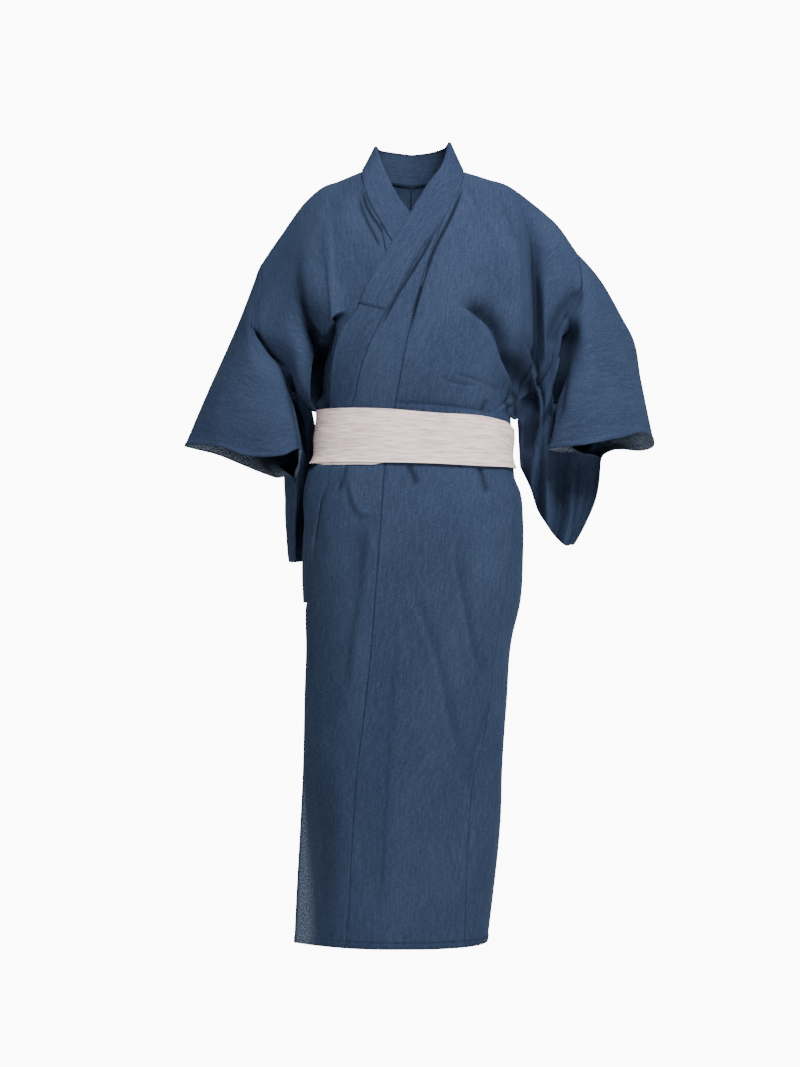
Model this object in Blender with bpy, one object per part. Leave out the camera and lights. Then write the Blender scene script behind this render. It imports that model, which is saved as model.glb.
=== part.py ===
"""A man's cotton yukata, worn left over right and tied with a stiff obi.

The robe is a hollow shell: every sewn piece is a thin wall whose outer face is
lofted through named lines of the garment (seams, fold crests, fold bottoms).
Tables hold millimetres. +X is the wearer's left, -Y the front, +Z up, and the
origin is the middle of the neck base, at shoulder level.
"""

import bpy
import numpy as np

MM = 0.001
for old in list(bpy.data.objects):
    bpy.data.objects.remove(old, do_unlink=True)

# ---------------------------------------------------------------- sizes
WALL = 1.4              # cloth wall
COLLAR_WALL = 2.0       # folded collar, several plies
OVER_WALL = 1.0         # over-collar sewn round the collar
OBI_WALL = 2.0          # one turn of the stiff sash
SEAM = 0.5              # distance from a piece's edge to the seam line
LAYER = 6.2             # from the outer front down to the front it covers
COLLAR_WIDTH = 55.0
WAIST_Z = -462.0        # middle of the obi
TUCK_LEFT_Z = -428.0    # from here down the cloth lies flat under the obi
TUCK_RIGHT_Z = -412.0
HEM_Z = -1356.0
NAVY = (0.045, 0.08, 0.16)
BEIGE = (0.68, 0.61, 0.58)
ROUND = 2.4             # exponent of the body's oval sections

# Oval sections of the wrapped cloth: height, centre, half width, front and back depth.
RINGS = (
    # z, centre, half, front, back
    (20, 0, 262, 20, 40),
    (-20, 0, 262, 52, 70),
    (-50, 0, 262, 76, 90),
    (-100, 0, 258, 104, 110),
    (-150, 0, 250, 119, 120),
    (-200, 0, 240, 127, 124),
    (-250, 0, 226, 132, 124),
    (-300, 2, 208, 134, 121),
    (-350, 4, 189, 132, 116),
    (-390, 6, 176, 128, 112),
    (-415, 6, 171, 125, 110),
    (-462, 4, 173, 125, 109),
    (-508, 0, 177, 127, 113),
    (-518, 0, 179, 128, 114),
    (-534, -5, 188, 131, 119),
    (-556, -3, 195, 133, 126),
    (-610, 0, 198, 137, 140),
    (-680, 1, 197, 137, 146),
    (-751, 1, 193, 135, 146),
    (-822, -5, 183, 132, 142),
    (-929, -10, 179, 128, 137),
    (-1050, -12, 172, 124, 133),
    (-1134, -10, 168, 122, 130),
    (-1298, -17, 159, 120, 127),
    (-1370, -21, 154, 119, 126),
)

# Seams on the wrapped skirt: where each runs, as x across the front or as degrees
# from the front's middle, and how far the free edge stands off the body.
SKIRT_SEAMS = (
    # z, overlap x, side left x, side right deg, collar seam then free edge deg, stand-off
    (-390, -27, 172, -81, -37, 0),
    (-415, -30, 170, -80, -39, 0),
    (-462, -40, 170, -79, -42, 0),
    (-511, -47, 174, -77, -45, 0),
    (-604, -54, 178, -76, -53, 0),
    (-665, -58, 172, -76, -62, 0),
    (-755, -65, 160, -77, -76, 0),
    (-842, -72, 145, -78, -82, 0),
    (-963, -86, 130, -80, -82, 4),
    (-1050, -97, 107, -81, -81, 10),
    (-1140, -103, 99, -82, -80, 20),
    (-1298, -112, 93, -83, -80, 30),
    (-1370, -118, 91, -84, -80, 34),
)
ARMHOLE_SEAM = 1.4      # the same where the cloth turns sharply
GAP = 1.0               # between layers that lie on each other
OVER_GAP = 1.3          # between the collar and the over-collar
OVER_LEVEL = 6          # the over-collar ends below this level of the front
OVER_PAST = 0.75        # how far below, as a share of the way to the next level
OVER_ACROSS = 0.92      # share of the collar's width that the over-collar covers
TURN_SIDE = 0.8         # the over-collar's turned edge: how far out its corners stand
TURN_FACE = 0.6         # how far they stand off the collar's two faces
TURN_PEAK = 1.15        # how far out its middle stands
EDGE_ROUND = 1.02       # the collar's width round the oval, over its straight width
LAYER_ANGLES = (-122, -102)     # where the right side passes in under the left
LAID_SIDE = (148, 112)          # x within which the front lies on the oval sections
LAID_TOP = (-28, -58)           # and the heights where that starts
LAID_WAIST = 22.0               # how much further out that reaches at the waist,
LAID_WAIST_Z = (-340, -400)     # over these heights
LIP_LEFT = (-165, -140)         # where the obi's inner turn shows below the outer one
LIP_RIGHT = (-40, -60)
LIP_DROP = 4.0
OBI_STEPS = 56
BAG_OUT = (5.0, -6.0)   # how far the sleeve's hanging edge slants out, wearer's left and right
BAG_BACK = (8.0, 62.0)  # and how far back
COLLAR_END_Z = -755.0   # the collar runs down to here on the outer hip

SKIRT_ROWS = np.array([
    HEM_Z, -1298, -1200, -1110, -1030, -960, -900, -840, -780, -720, -665, -610, -570, -534,
    -518, -508, -485, WAIST_Z, -445])

# Upper body, wearer's left (the outer front): one row for each named line, and in
# it one point (x, y, z) for each level from the shoulder line down to the obi.
# The first two lines take their depth from the oval sections.
LEFT_FRONT = {
    "neck_edge": (
        (67, 4, 62), (52, -42, 14), (30, -62, -17), (6, -84, -58), (-12, 0, -89), (-36, 0, -129),
        (-72, 0, -191), (-98, 0, -246), (-124, 0, -281), (-138, 0, -328), (-144, 0, -378)),
    "collar_seam": (
        (91, 0, 11), (85, -50, -23), (70, -75, -52), (54, -95, -83), (34, 0, -113), (8, 0, -151),
        (-26, 0, -213), (-52, 0, -258), (-75, 0, -305), (-91, 0, -350), (-100, 0, -392)),
    "overlap_seam": (
        (91, 0, 11), (85, -50, -23), (70, -75, -52), (54, -95, -83), (43, 0, -115), (29, 0, -155),
        (15, 0, -208), (1, 0, -257), (-11, 0, -307), (-19, 0, -352), (-27, 0, -393)),
    "chest": (
        (134, 0, -2), (134, -50, -40), (131, -80, -77), (129, -100, -116), (127, -111, -156),
        (123, -118, -205), (118, -121, -252), (111, -122, -299), (100, -123, -341), (88, -123, -376),
        (80, -122, -405)),
    "crest": (
        (178, 0, -18), (189, -42, -56), (198, -65, -95), (203, -78, -131), (206, -83, -167),
        (208, -86, -211), (210, -86, -247), (210, -82, -285), (209, -72, -315), (199, -60, -348),
        (180, -50, -388)),
    "fold": (
        (200, 0, -34), (200, -31, -60), (211, -37, -98), (217, -39, -132), (219, -40, -167),
        (221, -40, -208), (222, -40, -247), (222, -40, -285), (220, -38, -314), (208, -34, -351),
        (187, -30, -391)),
    "wall": (
        (258, 0, -84), (255, -32, -114), (249, -47, -147), (241, -56, -180), (236, -63, -210),
        (234, -66, -249), (234, -66, -281), (234, -63, -311), (231, -53, -335), (215, -38, -363),
        (190, -19, -401)),
    "armhole": (
        (294, 0, -134), (300, -18, -166), (301, -30, -195), (288, -36, -226), (272, -39, -253),
        (257, -40, -281), (250, -40, -309), (246, -40, -334), (236, -38, -355), (216, -27, -381),
        (190, -4, -421)),
}
LEFT_BACK = {
    "neck_edge": ((60, 42, 58), (36, 66, 53), (0, 78, 50)),
    "collar_seam": ((79, 44, 9), (46, 74, 0), (0, 88, -6)),
    "centre": ((0, 88, -6), (0, 113, -100), (0, 123, -200), (2, 120, -300), (5, 113, -385)),
    "chest": (
        (129, 50, -20), (116, 84, -50), (100, 107, -100), (90, 121, -170), (86, 124, -250),
        (85, 118, -325), (84, 110, -390)),
    "crest": (
        (181, 45, -45), (176, 80, -85), (168, 103, -135), (160, 112, -195), (155, 112, -265),
        (150, 103, -335), (146, 90, -396)),
    "fold": (
        (202, 43, -60), (198, 75, -98), (192, 95, -145), (184, 101, -202), (178, 99, -270),
        (171, 88, -340), (164, 75, -400)),
    "wall": (
        (253, 35, -110), (241, 60, -140), (229, 78, -175), (216, 80, -220), (205, 74, -280),
        (193, 60, -345), (180, 48, -405)),
    "armhole": (
        (289, 26, -154), (272, 46, -178), (253, 56, -206), (237, 56, -246), (222, 46, -300),
        (206, 30, -360), (190, 10, -421)),
}
RIGHT_FRONT = {
    "neck_edge": (
        (-64, 2, 54), (-45, -36, 0), (-22, -62, -46), (-8, -78, -66), (8, 0, -95), (30, 0, -126),
        (54, 0, -170), (74, 0, -222), (92, 0, -280), (104, 0, -332), (112, 0, -370)),
    "collar_seam": (
        (-87, 0, 12), (-86, -50, -19), (-73, -70, -56), (-54, -85, -90), (-37, 0, -121), (-14, 0, -152),
        (8, 0, -192), (28, 0, -243), (44, 0, -295), (54, 0, -345), (60, 0, -384)),
    "overlap_seam": (
        (-87, 0, 12), (-86, -50, -19), (-73, -70, -56), (-54, -85, -90), (-49, 0, -130), (-38, 0, -168),
        (-24, 0, -208), (-8, 0, -256), (4, 0, -303), (14, 0, -350), (20, 0, -388)),
    "chest": (
        (-130, 0, -6), (-130, -55, -53), (-126, -85, -101), (-117, -105, -146), (-111, -117, -186),
        (-108, -122, -221), (-106, -124, -248), (-98, -120, -300), (-95, -119, -335), (-90, -120, -366),
        (-90, -117, -392)),
    "crest": (
        (-165, 0, -21), (-165, -55, -74), (-164, -83, -125), (-160, -100, -170), (-157, -110, -206),
        (-152, -115, -241), (-150, -104, -272), (-145, -76, -298), (-144, -70, -336), (-147, -60, -368),
        (-147, -50, -394)),
    "fold": (
        (-196, 0, -50), (-197, -45, -101), (-198, -72, -150), (-196, -88, -190), (-191, -88, -225),
        (-184, -72, -256), (-176, -48, -281), (-166, -24, -303), (-164, -20, -342), (-164, -18, -372),
        (-163, -22, -396)),
    "wall": (
        (-230, 0, -98), (-231, -30, -139), (-232, -55, -183), (-233, -68, -223), (-229, -72, -255),
        (-216, -77, -280), (-197, -78, -303), (-187, -76, -333), (-183, -68, -364), (-184, -56, -384),
        (-172, -22, -398)),
    "armhole": (
        (-272, 0, -160), (-266, -30, -195), (-273, -50, -236), (-281, -58, -265), (-273, -56, -282),
        (-261, -52, -299), (-245, -48, -320), (-231, -43, -339), (-220, -37, -362), (-207, -26, -382),
        (-177, 0, -400)),
}
RIGHT_BACK = {
    "neck_edge": ((-58, 42, 54), (-36, 66, 53), (0, 78, 50)),
    "collar_seam": ((-77, 44, 9), (-45, 74, 0), (0, 88, -6)),
    "centre": ((0, 88, -6), (0, 113, -100), (0, 123, -200), (2, 120, -300), (5, 113, -385)),
    "chest": (
        (-126, 50, -26), (-114, 84, -56), (-100, 107, -106), (-90, 121, -172), (-86, 124, -250),
        (-85, 118, -325), (-84, 110, -384)),
    "crest": (
        (-168, 46, -58), (-167, 82, -98), (-162, 104, -146), (-157, 113, -200), (-152, 113, -264),
        (-146, 104, -335), (-140, 93, -387)),
    "fold": (
        (-199, 43, -84), (-196, 74, -124), (-190, 94, -168), (-182, 100, -214), (-173, 96, -270),
        (-163, 85, -340), (-156, 72, -389)),
    "wall": (
        (-231, 34, -128), (-226, 60, -164), (-218, 76, -204), (-206, 78, -244), (-193, 70, -290),
        (-179, 58, -345), (-167, 44, -392)),
    "armhole": (
        (-270, 28, -186), (-261, 48, -216), (-248, 56, -248), (-232, 54, -282), (-214, 44, -320),
        (-194, 28, -364), (-177, 8, -400)),
}

# Sleeves: one row for each line that runs from armhole to cuff, with a point at
# each of four stations; the armhole itself is the fifth and comes from the body.
# Lines are in order round the sleeve, from the top fold down the front to the
# bottom of the bag and up the back.
STATIONS = (0.0, 0.2, 0.45, 0.7, 1.0)
RIGHT_SLEEVE = {
    "top": ((-294, 0, -223), (-328, 0, -303), (-364, 0, -383), (-404, 0, -477)),
    "front_arm": ((-294, -34, -244), (-310, -50, -330), (-336, -52, -396), (-347, -50, -479)),
    "front": ((-286, -58, -288), (-270, -72, -352), (-281, -75, -411), (-281, -66, -498)),
    "front_low": ((-260, -61, -324), (-236, -66, -372), (-238, -72, -425), (-228, -70, -496)),
    "fold": ((-233, -46, -346), (-220, -52, -378), (-210, -58, -430), (-201, -54, -484)),
    "behind": ((-206, -20, -400), (-202, 10, -424), (-200, -10, -462), (-200, -32, -512)),
    "bag_front": ((-193, 14, -440), (-190, 70, -456), (-193, 60, -494), (-201, -22, -544)),
    "bag_mid": ((-192, 34, -492), (-192, 110, -530), (-197, 92, -580), (-205, -16, -618)),
    "bottom": ((-196, 48, -535), (-197, 130, -612), (-202, 104, -670), (-209, -6, -695)),
    "bag_mid_back": ((-204, 48, -490), (-208, 128, -530), (-214, 106, -580), (-214, -4, -618)),
    "bag_back": ((-209, 58, -436), (-216, 130, -456), (-220, 116, -490), (-214, 8, -542)),
    "back_low": ((-226, 74, -386), (-242, 120, -420), (-254, 114, -462), (-246, 30, -533)),
    "back": ((-240, 80, -338), (-264, 100, -384), (-282, 98, -432), (-276, 46, -522)),
    "back_arm": ((-280, 50, -270), (-309, 56, -338), (-338, 52, -406), (-350, 34, -492)),
}
LEFT_SLEEVE = {
    "top": ((339, 0, -187), (371, 0, -271), (390, -5, -356), (408, -20, -454)),
    "front_arm": ((318, -38, -222), (331, -50, -276), (343, -60, -363), (362, -65, -465)),
    "front": ((293, -56, -252), (296, -62, -283), (300, -82, -374), (300, -85, -478)),
    "trough": ((265, -38, -286), (272, -32, -305), (264, -70, -384), (243, -62, -484)),
    "ridge": ((259, -43, -328), (255, -36, -344), (254, -22, -404), (256, -16, -488)),
    "behind": ((241, -46, -384), (247, -32, -402), (262, 14, -452), (304, 14, -492)),
    "bag_front": ((222, -44, -438), (234, -20, -464), (272, 26, -496), (332, 30, -506)),
    "bag_mid": ((208, -12, -496), (230, 0, -552), (272, 18, -592), (326, 32, -578)),
    "bottom": ((206, 18, -540), (230, 24, -600), (263, 26, -645), (287, 28, -663)),
    "bag_mid_back": ((208, 32, -498), (232, 44, -552), (276, 48, -592), (330, 42, -578)),
    "bag_back": ((216, 40, -436), (246, 60, -462), (298, 66, -492), (345, 40, -506)),
    "back_low": ((246, 62, -366), (292, 82, -404), (340, 84, -450), (362, 60, -483)),
    "back": ((288, 78, -290), (342, 88, -338), (372, 86, -414), (412, 70, -484)),
    "back_arm": ((332, 46, -214), (394, 46, -276), (413, 54, -360), (434, 30, -470)),
}
SLEEVE_TURNS = (
    0, 0.07, 0.14, 0.19, 0.235, 0.33, 0.395, 0.45, 0.5, 0.55, 0.605, 0.68, 0.76, 0.90)
ARMHOLE_TURN = 0.41     # where the armhole ends and the sleeve's own edge hangs on
BAG_DROP = 85.0         # length of that hanging edge
BAG_ROUND = 24.0        # reach of the rounding at the bag's outer corner
BAG_LIFT = 0.12         # share of the way up the bag's side that the corner is drawn
TURN_LENGTH = 1720.0    # length round the sleeve of one whole turn, near the corner
RUN_LENGTH = 200.0      # length along the sleeve, near the corner

# The bag's slack hangs in upright folds: how far each stands out or in along the sleeve.
BAG_FOLDS = (
    # s, wearer's left (to the back), wearer's right (to the left)
    (0.0, 0, 0),
    (0.14, 0, 0),
    (0.26, -16, 13),
    (0.385, 18, -14),
    (0.51, -18, 16),
    (0.64, 20, -16),
    (0.76, -16, 16),
    (0.88, 16, -15),
    (1.0, -4, 4),
)

# Obi: height of its edges across the front.
OBI_EDGES = (
    # x, top, bottom
    (-200, -415, -508),
    (-56, -416, -509),
    (31, -423, -511),
    (150, -434, -516),
    (164, -438, -516),
    (173, -446, -517),
    (182, -452, -517),
)


# ---------------------------------------------------------------- curves
def spline(knots, values, at):
    """A smooth curve through the values at the knots, read at each of `at`."""
    knots = np.asarray(knots, float)
    values = np.asarray(values, float)
    at = np.asarray(at, float)
    rest = (1,) * (values.ndim - 1)
    steps = np.diff(knots).reshape((-1,) + rest)
    slopes = np.diff(values, axis=0) / steps
    tangents = np.empty_like(values)
    tangents[1:-1] = (slopes[:-1] * steps[1:] + slopes[1:] * steps[:-1]) / (steps[:-1] + steps[1:])
    tangents[0] = 1.5 * slopes[0] - 0.5 * tangents[1]
    tangents[-1] = 1.5 * slopes[-1] - 0.5 * tangents[-2]
    i = np.clip(np.searchsorted(knots, at, side="right") - 1, 0, len(knots) - 2)
    t = ((at - knots[i]) / (knots[i + 1] - knots[i])).reshape(at.shape + rest)
    h = steps[i]
    return (
        (1 + 2 * t) * (1 - t) ** 2 * values[i]
        + t * (1 - t) ** 2 * h * tangents[i]
        + t * t * (3 - 2 * t) * values[i + 1]
        + t * t * (t - 1) * h * tangents[i + 1]
    )


def column(table, index, at):
    """One column of a table whose first column falls, read at heights `at`."""
    rows = np.asarray(table, float)[::-1]
    return spline(rows[:, 0], rows[:, index], at)


def smooth(low, high, x):
    t = np.clip((x - low) / (high - low), 0, 1)
    return t * t * (3 - 2 * t)


def front_depth(x, z):
    """Depth of the front of the oval section at height z."""
    across = np.abs((x - column(RINGS, 1, z)) / column(RINGS, 2, z))
    return -column(RINGS, 3, z) * np.maximum(1 - across**ROUND, 1e-4) ** (1 / ROUND)


def ring(angle, z):
    """A point of the oval section; angle in degrees from the front, + to the left."""
    a = np.radians(angle)
    power = 2 / ROUND
    depth = np.where(np.cos(a) > 0, column(RINGS, 3, z), column(RINGS, 4, z))
    x = column(RINGS, 1, z) + column(RINGS, 2, z) * np.sign(np.sin(a)) * np.abs(np.sin(a)) ** power
    y = -depth * np.sign(np.cos(a)) * np.abs(np.cos(a)) ** power
    return np.stack([x, y, z + 0 * x], -1)


def angle_at(x, z):
    """The angle of the front of the section where it crosses x."""
    across = (x - column(RINGS, 1, z)) / column(RINGS, 2, z)
    return np.degrees(np.arcsin(np.sign(across) * np.minimum(np.abs(across), 1) ** (ROUND / 2)))


def wrapped(angle, z, depth=0.0):
    """A point on the wrapped cloth, moved in from the outer layer by depth."""
    point = ring(angle, z)
    half = column(RINGS, 2, z)
    deep = np.where(point[..., 1] < 0, column(RINGS, 3, z), column(RINGS, 4, z))
    out = np.stack([
        np.sign(np.sin(np.radians(angle))) * np.abs((point[..., 0] - column(RINGS, 1, z)) / half)
        ** (ROUND - 1) / half,
        np.sign(point[..., 1]) * np.abs(point[..., 1] / deep) ** (ROUND - 1) / deep,
        0 * point[..., 0]], -1)
    out /= np.linalg.norm(out, axis=-1, keepdims=True)
    return point - out * np.asarray(depth)[..., None]


def skirt_line(name, z):
    """The angle of a named seam of the skirt at height z."""
    if name in ("side_right", "collar"):
        return column(SKIRT_SEAMS, 3 if name == "side_right" else 4, z)
    return angle_at(column(SKIRT_SEAMS, 1 if name == "overlap" else 2, z), z)


# ---------------------------------------------------------------- walls
def unit(vectors):
    return vectors / np.maximum(np.linalg.norm(vectors, axis=-1, keepdims=True), 1e-9)


def patch(surface, u, v, hub=None, step=0.5):
    """A grid of points and its unit normals, turned away from the hub or the middle."""
    points = surface(u, v)
    du = surface(u + step, v) - surface(u - step, v)
    dv = surface(u, v + step) - surface(u, v - step)
    normals = unit(np.cross(du, dv))
    away = points - points.mean(axis=(0, 1)) if hub is None else points - hub
    if hub is not None:
        away[..., 2] = 0
    if (normals * away).sum() < 0:
        normals = -normals
    return points, normals


def joined(*patches):
    return [np.concatenate(part) for part in zip(*patches)]


def inset(points, first=0.0, last=0.0, left=0.0, right=0.0):
    """Pulls the edge rows and columns of a grid in along their neighbours."""
    points = points.copy()
    for line, near, distance in (
            (np.s_[0], np.s_[1], first), (np.s_[-1], np.s_[-2], last),
            (np.s_[:, 0], np.s_[:, 1], left), (np.s_[:, -1], np.s_[:, -2], right)):
        points[line] += unit(points[near] - points[line]) * distance
    return points


def quads(rows, columns, first, closed):
    faces = []
    for r in range(rows - 1):
        for c in range(columns if closed else columns - 1):
            a = first + r * columns
            d = (c + 1) % columns
            faces.append([a + c, a + d, a + columns + d, a + columns + c])
    return faces


def wall_piece(name, points, normals, wall=WALL, closed=False, colour=NAVY):
    """A closed wall: its outer face on the points, its inner face one wall within."""
    rows, columns = points.shape[:2]
    count = rows * columns
    edge = [(r * columns + c, r * columns + c + 1) for r in (0,) for c in range(columns - 1)]
    edge += [((rows - 1) * columns + c + 1, (rows - 1) * columns + c) for c in range(columns - 1)]
    if closed:
        edge += [(columns - 1, 0), ((rows - 1) * columns, rows * columns - 1)]
    else:
        edge += [(r * columns + columns, r * columns) for r in range(rows - 1)]
        edge += [(r * columns - 1, (r + 1) * columns - 1) for r in range(1, rows)]
    faces = quads(rows, columns, 0, closed)
    faces += [[a + count, d + count, c + count, b + count] for a, b, c, d in faces]
    faces += [[b, a, a + count, b + count] for a, b in edge]
    across = points[rows // 2, 1] - points[rows // 2, 0]
    along = points[rows // 2 + 1, 0] - points[rows // 2, 0]
    if np.dot(np.cross(across, along), normals[rows // 2, 0]) < 0:
        faces = [[a, d, c, b] for a, b, c, d in faces]
    shell = np.concatenate([points.reshape(-1, 3), (points - normals * wall).reshape(-1, 3)])
    mesh = bpy.data.meshes.new(name)
    mesh.from_pydata((shell * MM).tolist(), [], faces)
    mesh.shade_smooth()
    mesh.set_sharp_from_angle(angle=0.9)
    piece = bpy.data.objects.new(name, mesh)
    bpy.context.scene.collection.objects.link(piece)
    material = bpy.data.materials.new(name + "_cloth")
    material.use_nodes = True
    shader = material.node_tree.nodes["Principled BSDF"]
    shader.inputs["Base Color"].default_value = (*colour, 1)
    shader.inputs["Roughness"].default_value = 0.85
    mesh.materials.append(material)
    return piece


def steps(knots, counts):
    """Values that divide each stretch between knots into its own count of parts."""
    parts = [np.linspace(a, b, n, endpoint=False) for a, b, n in zip(knots, knots[1:], counts)]
    return np.concatenate(parts + [[knots[-1]]])


# ---------------------------------------------------------------- the body's cloth
LINES = ("chest", "crest", "fold", "wall", "armhole")
LINE_SHARE = (0.38, 0.72, 0.79, 0.89, 1.0)   # where those lines cross the skirt's sections
TIP_LEVEL = 3           # the overlap's tip, and on the back the middle of the neck


class Side:
    """One side of the upper body, as lines that run from the front waist over the
    shoulder to the back waist. v is the distance along them."""

    def __init__(self, sign, front, back, tuck_z):
        self.sign = sign
        self.depth = 0.0 if sign > 0 else LAYER
        self.heights = (WAIST_Z, tuck_z)
        self.rows = np.append(SKIRT_ROWS, tuck_z)
        side = "side_left" if sign > 0 else "side_right"
        lines = []
        for name, share in zip(LINES, LINE_SHARE):
            low = [self.front_ring(self.seam("overlap", z), skirt_line(side, z), share, z)
                   for z in self.heights]
            high = [self.back_ring(skirt_line(side, z), share, z) for z in self.heights[::-1]]
            lines.append(low + list(front[name][::-1]) + list(back[name]) + high)
        self.lines = np.array(lines, float)
        legs = np.linalg.norm(np.diff(self.lines, axis=1), axis=-1).mean(axis=0)
        self.v = np.concatenate([[0], np.cumsum(legs)])
        self.shoulder = len(front["chest"]) + 1
        self.tip = self.shoulder - TIP_LEVEL
        self.nape = self.shoulder + TIP_LEVEL
        self.collar = self.front_line("collar", front["collar_seam"], back["collar_seam"])
        self.edge = self.front_line("edge", front["neck_edge"], back["neck_edge"])
        self.overlap = self.front_line("overlap", front["overlap_seam"], ())
        centre = list(back["centre"]) + [self.back_ring(0, 0, z) for z in self.heights[::-1]]
        self.centre = np.array(centre, float)
        widths = np.linalg.norm(np.diff(self.lines[:, 2:-2], axis=0), axis=-1).mean(axis=1)
        inner = np.linalg.norm(self.lines[0, 2:self.tip] - self.overlap[2:self.tip], axis=-1).mean()
        self.u = np.concatenate([[0, inner], inner + np.cumsum(widths)])

    def seam(self, name, z):
        angle = skirt_line(name, z)
        return angle if self.sign > 0 else -angle

    def front_ring(self, start, end, share, z):
        angle = start + (end - start) * share
        return wrapped(angle, np.float64(z), self.layer_depth(angle))

    def back_ring(self, side, share, z):
        angle = self.sign * 180.0 + (side - self.sign * 180.0) * share
        return wrapped(angle, np.float64(z), self.layer_depth(angle))

    def layer_depth(self, angle):
        """The right side lies under the overlap at the front and is outermost at the back."""
        if self.sign > 0:
            return 0.0 * angle
        return LAYER * smooth(*LAYER_ANGLES, angle)

    def front_line(self, name, front, back):
        rows = []
        for z in self.heights:
            angle = self.seam("overlap" if name == "overlap" else "collar", z)
            if name == "edge":
                angle = collar_edge_angle(angle, z, self.sign)
            rows.append(wrapped(angle, np.float64(z), self.depth))
        rows += [self.on_front(np.array(p, float)) if p[1] == 0 and i else np.array(p, float)
                 for i, p in reversed(list(enumerate(front)))]
        return np.array(rows + [np.array(p, float) for p in back])

    def on_front(self, point):
        point[1] = front_depth(point[0], point[2]) + self.depth
        return point

    def settle(self, points, v):
        """Lays the middle of the front exactly on the body's oval sections."""
        x, y, z = points[..., 0], points[..., 1], points[..., 2]
        low = LAID_WAIST * smooth(*LAID_WAIST_Z, z) * (self.sign > 0)
        middle = smooth(*LAID_SIDE, np.abs(x) - low) * smooth(*LAID_TOP, z)
        middle = np.where(v[:, None] < self.v[self.shoulder], middle, 0)
        slope_x = (front_depth(x + 1, z) - front_depth(x - 1, z)) / 2
        slope_z = (front_depth(x, z + 1) - front_depth(x, z - 1)) / 2
        laid = front_depth(x, z) + self.depth * np.sqrt(1 + slope_x**2 + slope_z**2)
        settled = points.copy()
        settled[..., 1] = y + (laid - y) * middle
        return settled

    def inner_edge(self, v):
        """The overlap seam, then the collar seam, then the centre back seam."""
        below = spline(self.v[:self.tip + 1], self.overlap[:self.tip + 1], v)
        neck = spline(self.v[:self.nape + 1], self.collar, v)
        centre = spline(self.v[self.nape:], self.centre, v)
        v = v[:, None]
        front = np.where(v <= self.v[self.tip], below, neck)
        return np.where(v <= self.v[self.nape], front, centre)

    def body(self, u, v):
        v = np.asarray(v, float)
        lines = [self.inner_edge(v)] + [spline(self.v, line, v) for line in self.lines]
        points = spline(self.u, np.array(lines), u).transpose(1, 0, 2)
        return self.settle(points, v)

    def overlap_top(self, u, v):
        """From the collar seam, u = 0, to the overlap seam, u = 1."""
        v = np.asarray(v, float)
        collar = spline(self.v[:self.nape + 1], self.collar, v)[:, None]
        seam = spline(self.v[:self.tip + 1], self.overlap[:self.tip + 1], v)[:, None]
        across = np.asarray(u, float)[None, :, None]
        return self.on_rings(collar + (seam - collar) * across)

    def on_rings(self, points):
        angle = angle_at(points[..., 0], points[..., 2])
        return wrapped(angle, points[..., 2], self.depth)

    def collar_top(self, u, v):
        """From the neck edge, u = 0, to the collar seam, u = 1."""
        v = np.asarray(v, float)
        edge = spline(self.v[:self.nape + 1], self.edge, v)[:, None]
        seam = spline(self.v[:self.nape + 1], self.collar, v)[:, None]
        across = np.asarray(u, float)[None, :, None]
        return self.settle(edge + (seam - edge) * across, v)


def collar_edge_angle(angle, z, sign):
    """The angle one collar width round from a seam at this angle."""
    across = column(RINGS, 2, z)
    return angle - sign * np.degrees(COLLAR_WIDTH / across) * EDGE_ROUND


# ---------------------------------------------------------------- the two sides
LEFT = Side(1, LEFT_FRONT, LEFT_BACK, TUCK_LEFT_Z)
RIGHT = Side(-1, RIGHT_FRONT, RIGHT_BACK, TUCK_RIGHT_Z)
AXIS = np.zeros(3)
BODY_COLUMNS = (3, 2, 1, 2, 2)


def skirt_front(side):
    """The front below the waist, from the overlap seam to the side seam."""
    name = "side_left" if side.sign > 0 else "side_right"

    def surface(u, z):
        share = spline(side.u, (0,) + LINE_SHARE, u)[None, :]
        start = side.seam("overlap", z)[:, None]
        angle = start + (skirt_line(name, z)[:, None] - start) * share
        return wrapped(angle, z[:, None] + 0 * angle, side.layer_depth(angle))
    return surface


def skirt_back(side):
    """The back below the waist, from the centre to the side seam."""
    name = "side_left" if side.sign > 0 else "side_right"

    def surface(u, z):
        share = spline(side.u, (0,) + LINE_SHARE, u)[None, :]
        start = side.sign * 180.0
        angle = start + (skirt_line(name, z)[:, None] - start) * share
        return wrapped(angle, z[:, None] + 0 * angle, side.layer_depth(angle))
    return surface


def side_piece(side):
    """One body width, parted under the sash into its upper part and two skirt lengths."""
    end = "left" if side.sign > 0 else "right"
    u = steps(side.u, BODY_COLUMNS)
    v = steps(side.v[1:-1], [2] * (len(side.v) - 3))[1:-1]
    low = side.rows[side.rows <= WAIST_Z]
    high = side.rows[side.rows >= WAIST_Z]
    net = patch(side.body, u, v, AXIS)
    net[1][:, -1] = side.sleeve.shared_normals(v)
    front = patch(skirt_front(side), u, high, AXIS)
    back = patch(skirt_back(side), u, high[::-1], AXIS)
    points, normals = joined(front, net, back)
    points = inset(points, first=SEAM, last=SEAM, left=SEAM, right=ARMHOLE_SEAM)
    wall_piece("body_" + end, points, normals)
    for name, surface in (("skirt_front_", skirt_front), ("skirt_back_", skirt_back)):
        points, normals = patch(surface(side), u, low, AXIS)
        wall_piece(name + end, inset(points, last=SEAM, left=SEAM, right=SEAM), normals)


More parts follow.
